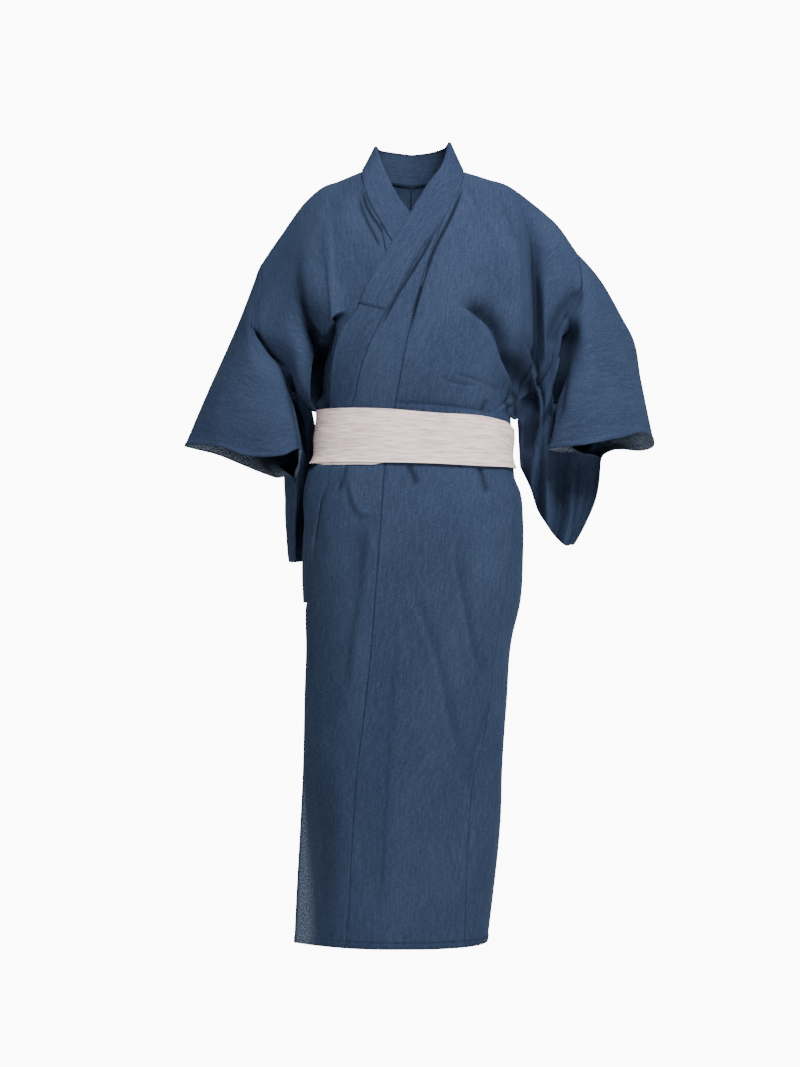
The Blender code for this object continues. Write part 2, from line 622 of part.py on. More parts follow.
# ---------------------------------------------------------------- overlap panels
def overlap_skirt(side):
    """From the collar seam, or the free edge below it, to the overlap seam."""
    def surface(u, z):
        start = side.seam("collar", z)[:, None]
        share = u[None, :]
        angle = start + (side.seam("overlap", z)[:, None] - start) * share
        points = wrapped(angle, z[:, None] + 0 * angle, side.depth)
        off = column(SKIRT_SEAMS, 5, z)[:, None] * (1 - share) ** 2 * (side.sign > 0)
        points[..., 0] -= off
        points[..., 1] -= 0.2 * off
        return points
    return surface


def overlap_piece(side):
    """One overlap panel, parted under the sash as the body is."""
    end = "left" if side.sign > 0 else "right"
    u = np.linspace(0, 1, 5)
    tip = side.v[side.tip - 1] * (1 - OVERLAP_TIP) + side.v[side.tip] * OVERLAP_TIP
    v = np.append(steps(side.v[1:side.tip], [2] * (side.tip - 2))[1:], tip)
    low = side.rows[side.rows <= WAIST_Z]
    high = side.rows[side.rows >= WAIST_Z]
    points, normals = patch(overlap_skirt(side), u, low, AXIS, step=1e-3)
    wall_piece("overlap_skirt_" + end, inset(points, last=SEAM, left=SEAM, right=SEAM), normals)
    points, normals = joined(
        patch(overlap_skirt(side), u, high, AXIS, step=1e-3),
        patch(side.overlap_top, u, v, AXIS, step=1e-3))
    wall_piece("overlap_" + end, inset(points, first=SEAM, left=SEAM, right=SEAM), normals)


OVERLAP_TIP = 0.6       # how far up its last level the panel's tip reaches
overlap_piece(LEFT)
overlap_piece(RIGHT)


# ---------------------------------------------------------------- collar
def collar_skirt(side):
    """The collar below the waist, from its free edge to its seam."""
    def surface(u, z):
        seam = side.seam("collar", z)[:, None]
        edge = collar_edge_angle(seam, z[:, None], side.sign)
        angle = edge + (seam - edge) * u[None, :]
        return wrapped(angle, z[:, None] + 0 * angle, side.depth)
    return surface


def neck_rows(side, first):
    """Distances v from a level up to the middle of the neck, closer round the neck."""
    turn = range(NECK_LEVEL, NECK_LEVEL + 4)
    parts = [4 if level in turn else 2 + (level > NECK_LEVEL) for level in range(first, side.nape)]
    return steps(side.v[first:side.nape + 1], parts)


def collar_half(side):
    """Collar points and normals from its lower end up to the middle of the neck."""
    low = np.append(COLLAR_END_Z, side.rows[side.rows > COLLAR_END_Z + 10])
    return joined(
        patch(collar_skirt(side), ACROSS, low, AXIS, step=1e-3),
        patch(side.collar_top, ACROSS, neck_rows(side, 1)[1:], AXIS, step=1e-3))


ACROSS = np.linspace(0, 1, 3)
NECK_LEVEL = 8
for collar_name, side in (("collar_left", LEFT), ("collar_right", RIGHT)):
    points, normals = collar_half(side)
    wall_piece(collar_name, inset(points, last=SEAM, right=SEAM), normals, COLLAR_WALL)


def over_rows(side):
    """The over-collar's rows: the points and normals of its outer face, turned round
    the collar's neck edge, from its end on the chest to the middle of the neck."""
    across = np.array([0.0, 0.5, OVER_ACROSS])
    past = side.v[OVER_LEVEL] + (side.v[OVER_LEVEL - 1] - side.v[OVER_LEVEL]) * OVER_PAST
    v = np.append(past, neck_rows(side, OVER_LEVEL))
    points, normals = patch(side.collar_top, across, v, AXIS, step=1e-3)
    edge = side.collar_top(np.array([0.0]), v)
    inward = unit(edge - side.collar_top(np.array([0.2]), v))
    clear = OVER_GAP + OVER_WALL
    facing = normals[:, :1]
    side_out, face_out = inward * clear * TURN_SIDE, facing * clear * TURN_FACE
    turn = [edge - facing * COLLAR_WALL - face_out + side_out,
            edge - facing * COLLAR_WALL / 2 + inward * clear * TURN_PEAK,
            edge + face_out + side_out]
    turned = [unit(side_out - face_out), inward, unit(side_out + face_out)]
    behind = (points - normals * (COLLAR_WALL + clear))[:, ::-1]
    return (np.concatenate([behind] + turn + [points + normals * clear], axis=1),
            np.concatenate([-normals[:, ::-1]] + turned + [normals], axis=1))


halves = [over_rows(side) for side in (LEFT, RIGHT)]
points, normals = joined(halves[0], [part[-2::-1] for part in halves[1]])
wall_piece("over_collar", points, normals, OVER_WALL)


# ---------------------------------------------------------------- sleeves
class Sleeve:
    """A flattened tube: turn goes round it from the top fold down the front, and
    s runs along it from the armhole to the cuff."""

    def __init__(self, side, table):
        self.side = side
        self.lines = np.array(list(table.values()), float)
        turns = np.array(SLEEVE_TURNS + (1.0,))
        self.columns = steps(turns, [3, 2, 2, 2, 3, 2, 2, 2, 2, 2, 2, 2, 3, 3])[:-1]
        s = steps(STATIONS, [3, 4, 4, 5])
        self.points, self.normals = patch(self.surface, self.columns, s, step=1e-4)
        u = side.u[-2:]
        self.edge_v = steps(side.v[2:-2], [2] * (len(side.v) - 5))
        self.edge_normals = patch(side.body, u, self.edge_v, AXIS)[1][:, -1]

    def height_at(self, turn):
        """The armhole's own distance v at each turn, and whether it's on the armhole."""
        side = self.side
        top, low, high = side.v[side.shoulder], side.v[2], side.v[-3]
        front = top + (low - top) * turn / ARMHOLE_TURN
        back = top + (high - top) * (1 - turn) / ARMHOLE_TURN
        v = np.where(turn < 0.5, front, back)
        return np.clip(v, low, high), (v >= low) & (v <= high)

    def shared_normals(self, v):
        """Normals midway between the body's and the sleeve's along the armhole."""
        turn_v, on = self.height_at(self.columns)
        order = np.argsort(turn_v[on])
        own = self.normals[0][on][order]
        total = 0
        for knots, values in ((turn_v[on][order], own), (self.edge_v, self.edge_normals)):
            total = total + np.stack([np.interp(v, knots, values[:, i]) for i in range(3)], -1)
        return unit(total)

    def armhole(self, turn):
        """The armhole, closed by the edge that hangs below it."""
        side = self.side
        turn = np.asarray(turn, float) % 1.0
        points = spline(side.v, side.lines[-1], self.height_at(turn)[0])
        hang = np.clip((0.5 - np.abs(turn - 0.5) - ARMHOLE_TURN) / (0.5 - ARMHOLE_TURN), 0, 1)
        which = 0 if side.sign > 0 else 1
        points[..., 2] -= BAG_DROP * hang
        points[..., 0] += side.sign * BAG_OUT[which] * hang
        middle = (side.lines[-1, 2, 1] + side.lines[-1, -3, 1]) / 2
        middle += BAG_BACK[which] * hang * (2 - hang)
        half = np.where(turn < 0.5, -1, 1) * (WALL + SEAM)
        flat = smooth(0, 0.3, hang)
        points[..., 1] += (middle + half * (1 - 0.8 * smooth(0.97, 1, hang)) - points[..., 1]) * flat
        return points

    def surface(self, turn, s):
        turn = np.asarray(turn, float)
        ends = self.armhole(np.array(SLEEVE_TURNS))[:, None]
        lines = np.concatenate([ends, self.lines], axis=1)
        wraps = (lines[-2:], lines, lines[:3])
        knots = np.array(SLEEVE_TURNS)
        knots = np.concatenate([knots[-2:] - 1, knots, knots[:3] + 1])
        along = spline(STATIONS, np.concatenate(wraps).transpose(1, 0, 2), s)
        points = spline(knots, along.transpose(1, 0, 2), turn % 1.0).transpose(1, 0, 2)
        # Near the armhole the sleeve follows it exactly, not the lines between.
        exact = self.armhole(turn)[None]
        rough = spline(knots, np.concatenate([ends[-2:], ends, ends[:3]])[:, 0], turn % 1.0)[None]
        near = (1 - np.clip(np.asarray(s, float), 0, None) / STATIONS[1]).clip(0)[:, None, None]
        return self.rounded(points + (exact - rough) * near ** 2 + self.folds(turn, s), turn, s)

    def folds(self, turn, s):
        """The upright folds of the bag, which carry its two sheets together."""
        left = self.side.sign > 0
        folds = np.array(BAG_FOLDS, float)
        stand = spline(folds[:, 0], folds[:, 1 if left else 2], np.clip(s, 0, 1))
        turn = turn % 1.0
        hung = smooth(0.34, 0.45, turn) * smooth(0.80, 0.60, turn)
        move = np.zeros((len(stand), len(turn), 3))
        move[..., 1 if left else 0] = stand[:, None] * hung
        return move

    def rounded(self, points, turn, s):
        """Draws the bag's outer lower corner up a little, so that it ends round."""
        side_step = np.abs(turn % 1.0 - 0.5)[None, :] * TURN_LENGTH
        end_step = (1 - np.asarray(s, float))[:, None] * RUN_LENGTH
        reach = np.exp(-(side_step**2 + end_step**2) / BAG_ROUND**2)
        lowest = SLEEVE_TURNS.index(0.5)
        side_middle = self.lines[lowest - 1, -2:].mean(axis=0)
        lift = (side_middle - self.lines[lowest, -1]) * BAG_LIFT
        return points + lift[None, None] * reach[..., None]


def sleeve_piece(name, sleeve):
    points, normals = sleeve.points, sleeve.normals.copy()
    v, on_armhole = sleeve.height_at(sleeve.columns)
    normals[0] = np.where(on_armhole[:, None], sleeve.shared_normals(v), normals[0])
    return wall_piece(name, inset(points, first=ARMHOLE_SEAM), normals, closed=True)


LEFT.sleeve = Sleeve(LEFT, LEFT_SLEEVE)
RIGHT.sleeve = Sleeve(RIGHT, RIGHT_SLEEVE)
sleeve_piece("sleeve_left", LEFT.sleeve)
sleeve_piece("sleeve_right", RIGHT.sleeve)
side_piece(LEFT)
side_piece(RIGHT)


# ---------------------------------------------------------------- obi
def obi_turn(name, inside, lip):
    """One turn of the sash round the waist."""
    angles = np.linspace(-180, 180, OBI_STEPS + 1)[:-1]
    share = np.linspace(0, 1, 3)

    def surface(angle, part):
        x = ring(angle, WAIST_Z)[..., 0]
        top = spline([row[0] for row in OBI_EDGES], [row[1] for row in OBI_EDGES], x)
        low = spline([row[0] for row in OBI_EDGES], [row[2] for row in OBI_EDGES], x)
        low = low - lip * smooth(*LIP_LEFT, x) * smooth(*LIP_RIGHT, x) * (np.abs(angle) < 90)
        z = low + (top - low) * part[:, None]
        return wrapped(angle + 0 * z, z, -(inside + OBI_WALL))
    points, normals = patch(surface, angles, share, AXIS, step=1e-3)
    return wall_piece(name, points, normals, OBI_WALL, closed=True, colour=BEIGE)


obi_turn("obi_inner", GAP, LIP_DROP)
obi_turn("obi_outer", GAP * 2 + OBI_WALL, 0.0)


# ---------------------------------------------------------------- knot at the back
def back_depth(x, z):
    """Depth of the back of the oval section at height z."""
    across = np.abs((x - column(RINGS, 1, z)) / column(RINGS, 2, z))
    return column(RINGS, 4, z) * np.maximum(1 - across**ROUND, 1e-4) ** (1 / ROUND)


def band_piece(name, middle, lean, width, path):
    """A band that follows a path in the plane square to the back: each point of the path
    is a distance along the leaning line and a height off the obi; the band lies across."""
    lean = np.radians(lean)
    along_line = np.array([np.sin(lean), np.cos(lean)])
    across_line = np.array([along_line[1], -along_line[0]])
    path = np.array(path, float)
    knots = np.concatenate([[0], np.cumsum(np.linalg.norm(np.diff(path, axis=0), axis=1))])

    def surface(u, v):
        far, off = spline(knots, path, v).T
        x = middle[0] + far[:, None] * along_line[0] + u[None, :] * across_line[0]
        z = middle[1] + far[:, None] * along_line[1] + u[None, :] * across_line[1]
        return np.stack([x, back_depth(x, z) + OBI_OUTSIDE + off[:, None], z], -1)
    u = np.linspace(-width / 2, width / 2, 4)
    points, normals = patch(surface, u, steps(knots, [2] * (len(path) - 1)))
    return wall_piece(name, points, normals, OBI_WALL, colour=BEIGE)


OBI_OUTSIDE = 2 * (GAP + OBI_WALL)
# Distance along the band and height of its outer face off the obi.
band_piece("knot_loop", (4, -462), 52, 84, (
    (72, 5.4), (20, 5.0), (-40, 5.4), (-80, 7), (-88, 11), (-80, 15), (-30, 15.4), (30, 15.4), (74, 15)))
band_piece("knot_end", (4, -462), -38, 52, (
    (-45, 3.6), (-52, 7), (-53, 15), (-44, 19.4), (0, 20), (44, 19.4), (66, 18), (92, 19), (112, 22)))
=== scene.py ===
# %% [markdown]
# # Cotton yukata, worn, with its stiff sash
# A yukata is sewn from one narrow bolt: two body widths that run over the shoulders, two
# overlap panels, a folded collar with a short over-collar, and two bag sleeves. Here it keeps
# its worn form, wrapped left over right and tied with a sash, with nobody inside.
# It could be simulated as cloth on a figure, but its folds would then fall by themselves. So
# each piece is a thin shell on the form of its own solid, lofted through the seam lines, and
# the creases are laid on it from tables.
# Tables hold millimetres. +X is the wearer's left, -Y the front, +Z up.

# %% Load the frame
import math

import bmesh
import bpy
import numpy as np
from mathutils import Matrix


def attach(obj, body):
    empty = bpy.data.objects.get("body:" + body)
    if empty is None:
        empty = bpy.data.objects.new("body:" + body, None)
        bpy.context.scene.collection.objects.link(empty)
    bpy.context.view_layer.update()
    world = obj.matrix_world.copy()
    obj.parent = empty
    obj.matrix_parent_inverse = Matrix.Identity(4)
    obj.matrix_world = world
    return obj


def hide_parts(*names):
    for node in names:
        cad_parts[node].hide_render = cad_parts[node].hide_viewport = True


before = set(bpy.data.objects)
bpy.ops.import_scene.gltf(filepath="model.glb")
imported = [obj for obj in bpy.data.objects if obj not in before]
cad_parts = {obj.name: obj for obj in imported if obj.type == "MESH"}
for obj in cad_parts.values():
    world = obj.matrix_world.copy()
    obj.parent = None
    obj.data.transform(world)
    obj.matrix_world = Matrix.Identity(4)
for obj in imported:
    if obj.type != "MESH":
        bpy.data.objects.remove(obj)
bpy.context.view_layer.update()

# %% [markdown]
# ## Sizes of the cloth
# The real cloth is about half a millimetre thick and lies in many plies. Every ply could be
# modelled, but touching faces flicker and cost memory. One wall for each piece, at a set
# distance from the next, looks the same. The outer faces are those of the solids, whose
# walls are thicker.

# %% Sizes
MM = 0.001
CLOTH = 0.7             # one ply of cotton
COLLAR_WALL = 2.0       # folded collar
OVER_WALL = 0.9         # over-collar
OBI_WALL = 2.0          # one turn of the sash
LAYER = 6.2             # from the outer front down to the front that it covers
SEAM = -0.25            # from a seam line in to a piece's edge: below zero, it runs past it
BACK_SEAM = -0.6        # the same, down the middle of the back
COLLAR_WIDTH = 55.0     # folded
COLLAR_END_Z = -755.0   # the collar runs down to here on the outer hip
WAIST_Z = -462.0        # the middle of the sash
TUCK_LEFT_Z = -430.0    # from here down the cloth lies flat under the sash
TUCK_RIGHT_Z = -421.0
HEM_Z = -1356.0         # the bottom edge
print("sizes in millimetres: cloth", CLOTH, "layer", LAYER)

# %% [markdown]
# ## The wrapped skirt
# Below the sash the robe is one cloth wrapped round the legs. It could be sculpted, but a
# stack of oval sections is easier to set by measure: each row gives one height, and smooth
# curves join the rows. A seam is then a line that runs down over the ovals.

# %% Oval sections of the wrapped cloth
ROUND = 2.4             # exponent of the ovals: 2 is an ellipse, more is squarer
MIDDLE, HALF, FRONT, REAR = 1, 2, 3, 4      # columns of the next table
RINGS = (
    # z, centre, half, front, back
    (20, 0, 262, 20, 40),
    (-20, 0, 262, 52, 70),
    (-50, 0, 262, 76, 90),
    (-100, 0, 258, 104, 110),
    (-150, 0, 250, 119, 120),
    (-200, 0, 240, 127, 124),
    (-250, 0, 226, 132, 124),
    (-300, 2, 208, 134, 121),
    (-350, 4, 189, 132, 116),
    (-390, 6, 176, 128, 112),
    (-415, 6, 171, 125, 110),
    (-462, 4, 173, 125, 109),
    (-508, 0, 177, 127, 113),
    (-518, -3, 184, 129, 116),
    (-534, -5, 188, 131, 119),
    (-556, -3, 195, 133, 126),
    (-610, 0, 198, 137, 140),
    (-680, 1, 197, 137, 146),
    (-751, 1, 193, 135, 146),
    (-822, -5, 183, 132, 142),
    (-929, -10, 179, 128, 137),
    (-1050, -12, 172, 124, 133),
    (-1134, -10, 168, 122, 130),
    (-1298, -17, 159, 120, 127),
    (-1370, -21, 154, 119, 126),
)
print("oval sections", len(RINGS))

# %% Seams on the skirt
# Seams on the wrapped skirt: where each runs, as x across the front or as degrees
# from the front's middle, and how far the free edge stands off the body.
SKIRT_SEAMS = (
    # z, overlap x, side left x, side right deg, collar seam then free edge deg, stand-off
    (-390, -27, 172, -81, -37, 0),
    (-415, -30, 170, -80, -39, 0),
    (-462, -40, 170, -79, -42, 0),
    (-511, -47, 174, -77, -45, 0),
    (-604, -54, 178, -76, -53, 0),
    (-665, -58, 172, -76, -62, 0),
    (-755, -65, 160, -77, -76, 0),
    (-842, -72, 145, -78, -82, 0),
    (-963, -86, 130, -80, -82, 4),
    (-1050, -97, 107, -81, -81, 10),
    (-1140, -103, 99, -82, -80, 20),
    (-1298, -112, 93, -83, -80, 30),
    (-1370, -118, 91, -84, -80, 34),
)
CROSSINGS = {"overlap": 1, "side_left": 2}  # columns that hold an x across the front
DEGREES = {"side_right": 3, "collar": 4}    # columns that hold degrees from the front's middle
STAND_OFF = 5
# Heights that the skirt's rows of points have to pass through.
SKIRT_ROWS = np.array([
    HEM_Z, -1298, -1200, -1110, -1030, -960, -900, -840, -780, -720, -665, -610, -570, -534,
    -518, -508, -485, WAIST_Z, -445])
print("skirt seams", len(CROSSINGS) + len(DEGREES))

# %% [markdown]
# ## Curves
# A pattern cutter's line runs smoothly through a few marked points. Blender's curve objects
# do that too, but a surface here has to be read at thousands of places at once, so the curve
# is a short function on whole arrays of numbers.

# %% Curves
def spline(knots, values, at):
    """A smooth curve through the values at the knots, read at each of `at`."""
    knots = np.asarray(knots, float)
    values = np.asarray(values, float)
    at = np.asarray(at, float)
    rest = (1,) * (values.ndim - 1)
    spans = np.diff(knots).reshape((-1,) + rest)
    slopes = np.diff(values, axis=0) / spans
    tangents = np.empty_like(values)
    tangents[1:-1] = (slopes[:-1] * spans[1:] + slopes[1:] * spans[:-1]) / (spans[:-1] + spans[1:])
    tangents[0] = 1.5 * slopes[0] - 0.5 * tangents[1]
    tangents[-1] = 1.5 * slopes[-1] - 0.5 * tangents[-2]
    i = np.clip(np.searchsorted(knots, at, side="right") - 1, 0, len(knots) - 2)
    t = ((at - knots[i]) / (knots[i + 1] - knots[i])).reshape(at.shape + rest)
    h = spans[i]
    return (
        (1 + 2 * t) * (1 - t) ** 2 * values[i]
        + t * (1 - t) ** 2 * h * tangents[i]
        + t * t * (3 - 2 * t) * values[i + 1]
        + t * t * (t - 1) * h * tangents[i + 1]
    )


def column(table, index, at):
    """One column of a table whose first column falls, read at heights `at`."""
    rows = np.asarray(table, float)[::-1]
    return spline(rows[:, 0], rows[:, index], at)


def smooth(low, high, x):
    """Rises softly from 0 at low to 1 at high. High may be the smaller of the two."""
    t = np.clip((x - low) / (high - low), 0, 1)
    return t * t * (3 - 2 * t)


def fade(distance, reach):
    """1 on a line, dying away on both sides of it."""
    return np.exp(-(distance / reach) ** 2)


def unit(vectors):
    return vectors / np.maximum(np.linalg.norm(vectors, axis=-1, keepdims=True), 1e-9)


print("halfway from 0 to 1:", spline((0, 1), (0.0, 1.0), 0.5), smooth(0, 1, 0.5))

# %% Points on the ovals
def section_depth(x, z, table_column):
    """How deep the front or the rear of the oval section at height z is at x."""
    across = np.abs((x - column(RINGS, MIDDLE, z)) / column(RINGS, HALF, z))
    return column(RINGS, table_column, z) * np.maximum(1 - across**ROUND, 1e-4) ** (1 / ROUND)


def ring(angle, z):
    """A point of the oval section; angle in degrees from the front, + to the left."""
    a = np.radians(angle)
    power = 2 / ROUND
    depth = np.where(np.cos(a) > 0, column(RINGS, FRONT, z), column(RINGS, REAR, z))
    across = np.sign(np.sin(a)) * np.abs(np.sin(a)) ** power
    x = column(RINGS, MIDDLE, z) + column(RINGS, HALF, z) * across
    y = -depth * np.sign(np.cos(a)) * np.abs(np.cos(a)) ** power
    return np.stack([x, y, z + 0 * x], -1)


def angle_at(x, z):
    """The angle of the front of the section where it crosses x."""
    across = (x - column(RINGS, MIDDLE, z)) / column(RINGS, HALF, z)
    return np.degrees(np.arcsin(np.sign(across) * np.minimum(np.abs(across), 1) ** (ROUND / 2)))


def wrapped(angle, z, depth):
    """A point on the wrapped cloth, moved in from the outer layer by depth."""
    point = ring(angle, z)
    half = column(RINGS, HALF, z)
    deep = np.where(point[..., 1] < 0, column(RINGS, FRONT, z), column(RINGS, REAR, z))
    side = np.abs((point[..., 0] - column(RINGS, MIDDLE, z)) / half) ** (ROUND - 1) / half
    ahead = np.abs(point[..., 1] / deep) ** (ROUND - 1) / deep
    out = np.stack([np.sign(np.sin(np.radians(angle))) * side, np.sign(point[..., 1]) * ahead,
                    0 * point[..., 0]], -1)
    out /= np.linalg.norm(out, axis=-1, keepdims=True)
    return point - out * np.asarray(depth)[..., None]


def skirt_line(name, z):
    """The angle of a named seam of the skirt at height z."""
    if name in DEGREES:
        return column(SKIRT_SEAMS, DEGREES[name], z)
    return angle_at(column(SKIRT_SEAMS, CROSSINGS[name], z), z)


print("front of the waist, mm:", ring(0.0, WAIST_Z).round(1))

# %% Grids of points
AXIS = np.zeros(3)      # the upright line that outer faces turn away from


def patch(surface, u, v, hub=None, step=0.5):
    """A grid of points and its unit normals, turned away from the hub or the middle."""
    points = surface(u, v)
    du = surface(u + step, v) - surface(u - step, v)
    dv = surface(u, v + step) - surface(u, v - step)
    normals = unit(np.cross(du, dv))
    away = points - points.mean(axis=(0, 1)) if hub is None else points - hub
    if hub is not None:
        away[..., 2] = 0
    if (normals * away).sum() < 0:
        normals = -normals
    return points, normals


def joined(*patches):
    """Several grids, each with its normals, as one that runs on from row to row."""
    return [np.concatenate(part) for part in zip(*patches)]


def inset(points, first=0.0, left=0.0, right=0.0):
    """Pulls the first row and the edge columns of a grid in along their neighbours."""
    points = points.copy()
    for line, near, distance in (
            (np.s_[0], np.s_[1], first),
            (np.s_[:, 0], np.s_[:, 1], left),
            (np.s_[:, -1], np.s_[:, -2], right)):
        points[line] += unit(points[near] - points[line]) * distance
    return points


def steps(knots, counts):
    """Values that divide each stretch between knots into its own count of parts."""
    parts = [np.linspace(a, b, n, endpoint=False) for a, b, n in zip(knots, knots[1:], counts)]
    return np.concatenate(parts + [[knots[-1]]])


def finer(knots, per):
    """The same, with one count for every stretch."""
    return steps(np.asarray(knots, float), [per] * (len(knots) - 1))


print("0 to 2 in parts:", finer((0, 1, 2), 2))

# %% [markdown]
# ## The two sides of the body
# Each body width is one strip that runs from the front hem over the shoulder to the back hem.
# It could be cut and sewn in a simulation, but its worn folds are known lines, so each line
# gets a point at every level and the surface runs smoothly through them all: down the chest,
# over the crest of the deep fold, into the fold and on to the armhole.

# %% Wearer's left, the outer front
# One row for each named line, with a point (x, y, z) for each level from the shoulder line
# down to the sash. The first lines take their depth from the oval sections where y is 0.
LEFT_FRONT = {
    "neck_edge": (
        (67, 4, 62), (52, -42, 14), (30, -62, -17), (6, -84, -58), (-12, 0, -89), (-36, 0, -129),
        (-72, 0, -191), (-98, 0, -246), (-124, 0, -281), (-138, 0, -328), (-144, 0, -378)),
    "collar_seam": (
        (91, 0, 11), (85, -50, -23), (70, -75, -52), (54, -95, -83), (34, 0, -113), (8, 0, -151),
        (-26, 0, -213), (-52, 0, -258), (-75, 0, -305), (-91, 0, -350), (-100, 0, -392)),
    "overlap_seam": (
        (91, 0, 11), (85, -50, -23), (70, -75, -52), (54, -95, -83), (43, 0, -115), (29, 0, -155),
        (15, 0, -208), (1, 0, -257), (-11, 0, -307), (-19, 0, -352), (-27, 0, -393)),
    "chest": (
        (134, 0, -2), (134, -50, -40), (131, -80, -77), (129, -100, -116), (127, -111, -156),
        (123, -118, -205), (118, -121, -252), (111, -122, -299), (100, -123, -341), (88, -123, -376),
        (80, -122, -405)),
    "crest": (
        (178, 0, -18), (187, -42, -56), (193, -65, -95), (197, -78, -131), (200, -83, -167),
        (202, -86, -211), (204, -86, -247), (204, -82, -285), (204, -72, -315), (197, -60, -348),
        (180, -50, -391)),
    "fold": (
        (200, 0, -34), (199, -31, -60), (207, -37, -98), (212, -39, -132), (213, -40, -167),
        (215, -40, -208), (216, -40, -247), (216, -40, -285), (215, -38, -314), (206, -34, -351),
        (187, -30, -396)),
    "wall": (
        (258, 0, -84), (255, -32, -114), (249, -47, -147), (241, -56, -180), (236, -63, -210),
        (234, -66, -249), (234, -66, -281), (234, -63, -311), (231, -53, -335), (215, -38, -363),
        (190, -19, -409)),
    "armhole": (
        (294, 0, -134), (300, -18, -166), (301, -30, -195), (288, -36, -226), (272, -39, -253),
        (257, -40, -281), (250, -40, -309), (246, -40, -334), (236, -38, -355), (216, -27, -381),
        (188, -4, -429)),
}
LEFT_BACK = {
    "neck_edge": ((60, 42, 58), (36, 66, 53), (0, 78, 50)),
    "collar_seam": ((79, 44, 9), (46, 74, 0), (0, 88, -6)),
    "centre": ((0, 88, -6), (0, 113, -100), (0, 123, -200), (2, 120, -300), (5, 113, -385)),
    "chest": (
        (129, 50, -20), (116, 84, -50), (100, 107, -100), (90, 121, -170), (86, 124, -250),
        (85, 118, -325), (84, 110, -390)),
    "crest": (
        (181, 45, -45), (176, 80, -85), (168, 103, -135), (160, 112, -195), (155, 112, -265),
        (150, 103, -335), (146, 90, -396)),
    "fold": (
        (202, 43, -60), (198, 75, -98), (192, 95, -145), (184, 101, -202), (178, 99, -270),
        (171, 88, -340), (164, 75, -400)),
    "wall": (
        (253, 35, -110), (241, 60, -140), (229, 78, -175), (216, 80, -220), (205, 74, -280),
        (193, 60, -345), (180, 48, -405)),
    "armhole": (
        (289, 26, -154), (272, 46, -178), (253, 56, -206), (237, 56, -246), (222, 46, -300),
        (206, 30, -360), (188, 10, -429)),
}
print("levels, front and back:", len(LEFT_FRONT["chest"]), len(LEFT_BACK["chest"]))

# %% Wearer's right, the inner front
# The same lines in the same order, on the other side.
RIGHT_FRONT = {
    "neck_edge": (
        (-64, 2, 54), (-45, -36, 0), (-22, -62, -46), (-8, -78, -66), (8, 0, -95), (30, 0, -126),
        (54, 0, -170), (74, 0, -222), (92, 0, -280), (104, 0, -332), (112, 0, -370)),
    "collar_seam": (
        (-87, 0, 12), (-86, -50, -19), (-73, -70, -56), (-54, -85, -90), (-37, 0, -121), (-14, 0, -152),
        (8, 0, -192), (28, 0, -243), (44, 0, -295), (54, 0, -345), (60, 0, -384)),
    "overlap_seam": (
        (-87, 0, 12), (-86, -50, -19), (-73, -70, -56), (-54, -85, -90), (-49, 0, -130), (-38, 0, -168),
        (-24, 0, -208), (-8, 0, -256), (4, 0, -303), (14, 0, -350), (20, 0, -388)),
    "chest": (
        (-130, 0, -6), (-130, -55, -53), (-126, -85, -101), (-117, -105, -146), (-111, -117, -186),
        (-108, -122, -221), (-106, -124, -248), (-98, -120, -300), (-95, -119, -335), (-90, -120, -366),
        (-90, -117, -396)),
    "crest": (
        (-165, 0, -21), (-165, -55, -74), (-164, -83, -125), (-160, -100, -170), (-157, -110, -206),
        (-152, -115, -241), (-150, -104, -272), (-152, -76, -298), (-154, -70, -336), (-157, -60, -368),
        (-158, -46, -402)),
    "fold": (
        (-196, 0, -50), (-197, -45, -101), (-198, -72, -150), (-196, -88, -190), (-191, -88, -225),
        (-184, -72, -256), (-176, -48, -281), (-169, -26, -303), (-171, -22, -342), (-172, -20, -372),
        (-170, -24, -410)),
    "wall": (
        (-230, 0, -98), (-231, -30, -139), (-232, -55, -183), (-233, -68, -223), (-229, -72, -255),
        (-216, -77, -280), (-197, -78, -303), (-189, -76, -333), (-187, -68, -364), (-184, -56, -384),
        (-175, -22, -413)),
    "armhole": (
        (-272, 0, -160), (-266, -30, -195), (-273, -50, -236), (-281, -58, -265), (-273, -56, -282),
        (-261, -52, -299), (-245, -48, -320), (-231, -43, -339), (-220, -37, -362), (-207, -26, -382),
        (-177, 0, -415)),
}
RIGHT_BACK = {
    "neck_edge": ((-58, 42, 54), (-36, 66, 53), (0, 78, 50)),
    "collar_seam": ((-77, 44, 9), (-45, 74, 0), (0, 88, -6)),
    "centre": ((0, 88, -6), (0, 113, -100), (0, 123, -200), (2, 120, -300), (5, 113, -385)),
    "chest": (
        (-126, 50, -26), (-114, 84, -56), (-100, 107, -106), (-90, 121, -172), (-86, 124, -250),
        (-85, 118, -325), (-84, 110, -384)),
    "crest": (
        (-168, 46, -58), (-167, 82, -98), (-162, 104, -146), (-157, 113, -200), (-152, 113, -264),
        (-146, 104, -335), (-140, 93, -387)),
    "fold": (
        (-199, 43, -84), (-196, 74, -124), (-190, 94, -168), (-182, 100, -214), (-173, 96, -270),
        (-163, 85, -340), (-156, 72, -389)),
    "wall": (
        (-231, 34, -128), (-226, 60, -164), (-218, 76, -204), (-206, 78, -244), (-193, 70, -290),
        (-179, 58, -345), (-167, 44, -392)),
    "armhole": (
        (-270, 28, -186), (-261, 48, -216), (-248, 56, -248), (-232, 54, -282), (-214, 44, -320),
        (-194, 28, -364), (-177, 8, -415)),
}
print("levels, front and back:", len(RIGHT_FRONT["chest"]), len(RIGHT_BACK["chest"]))

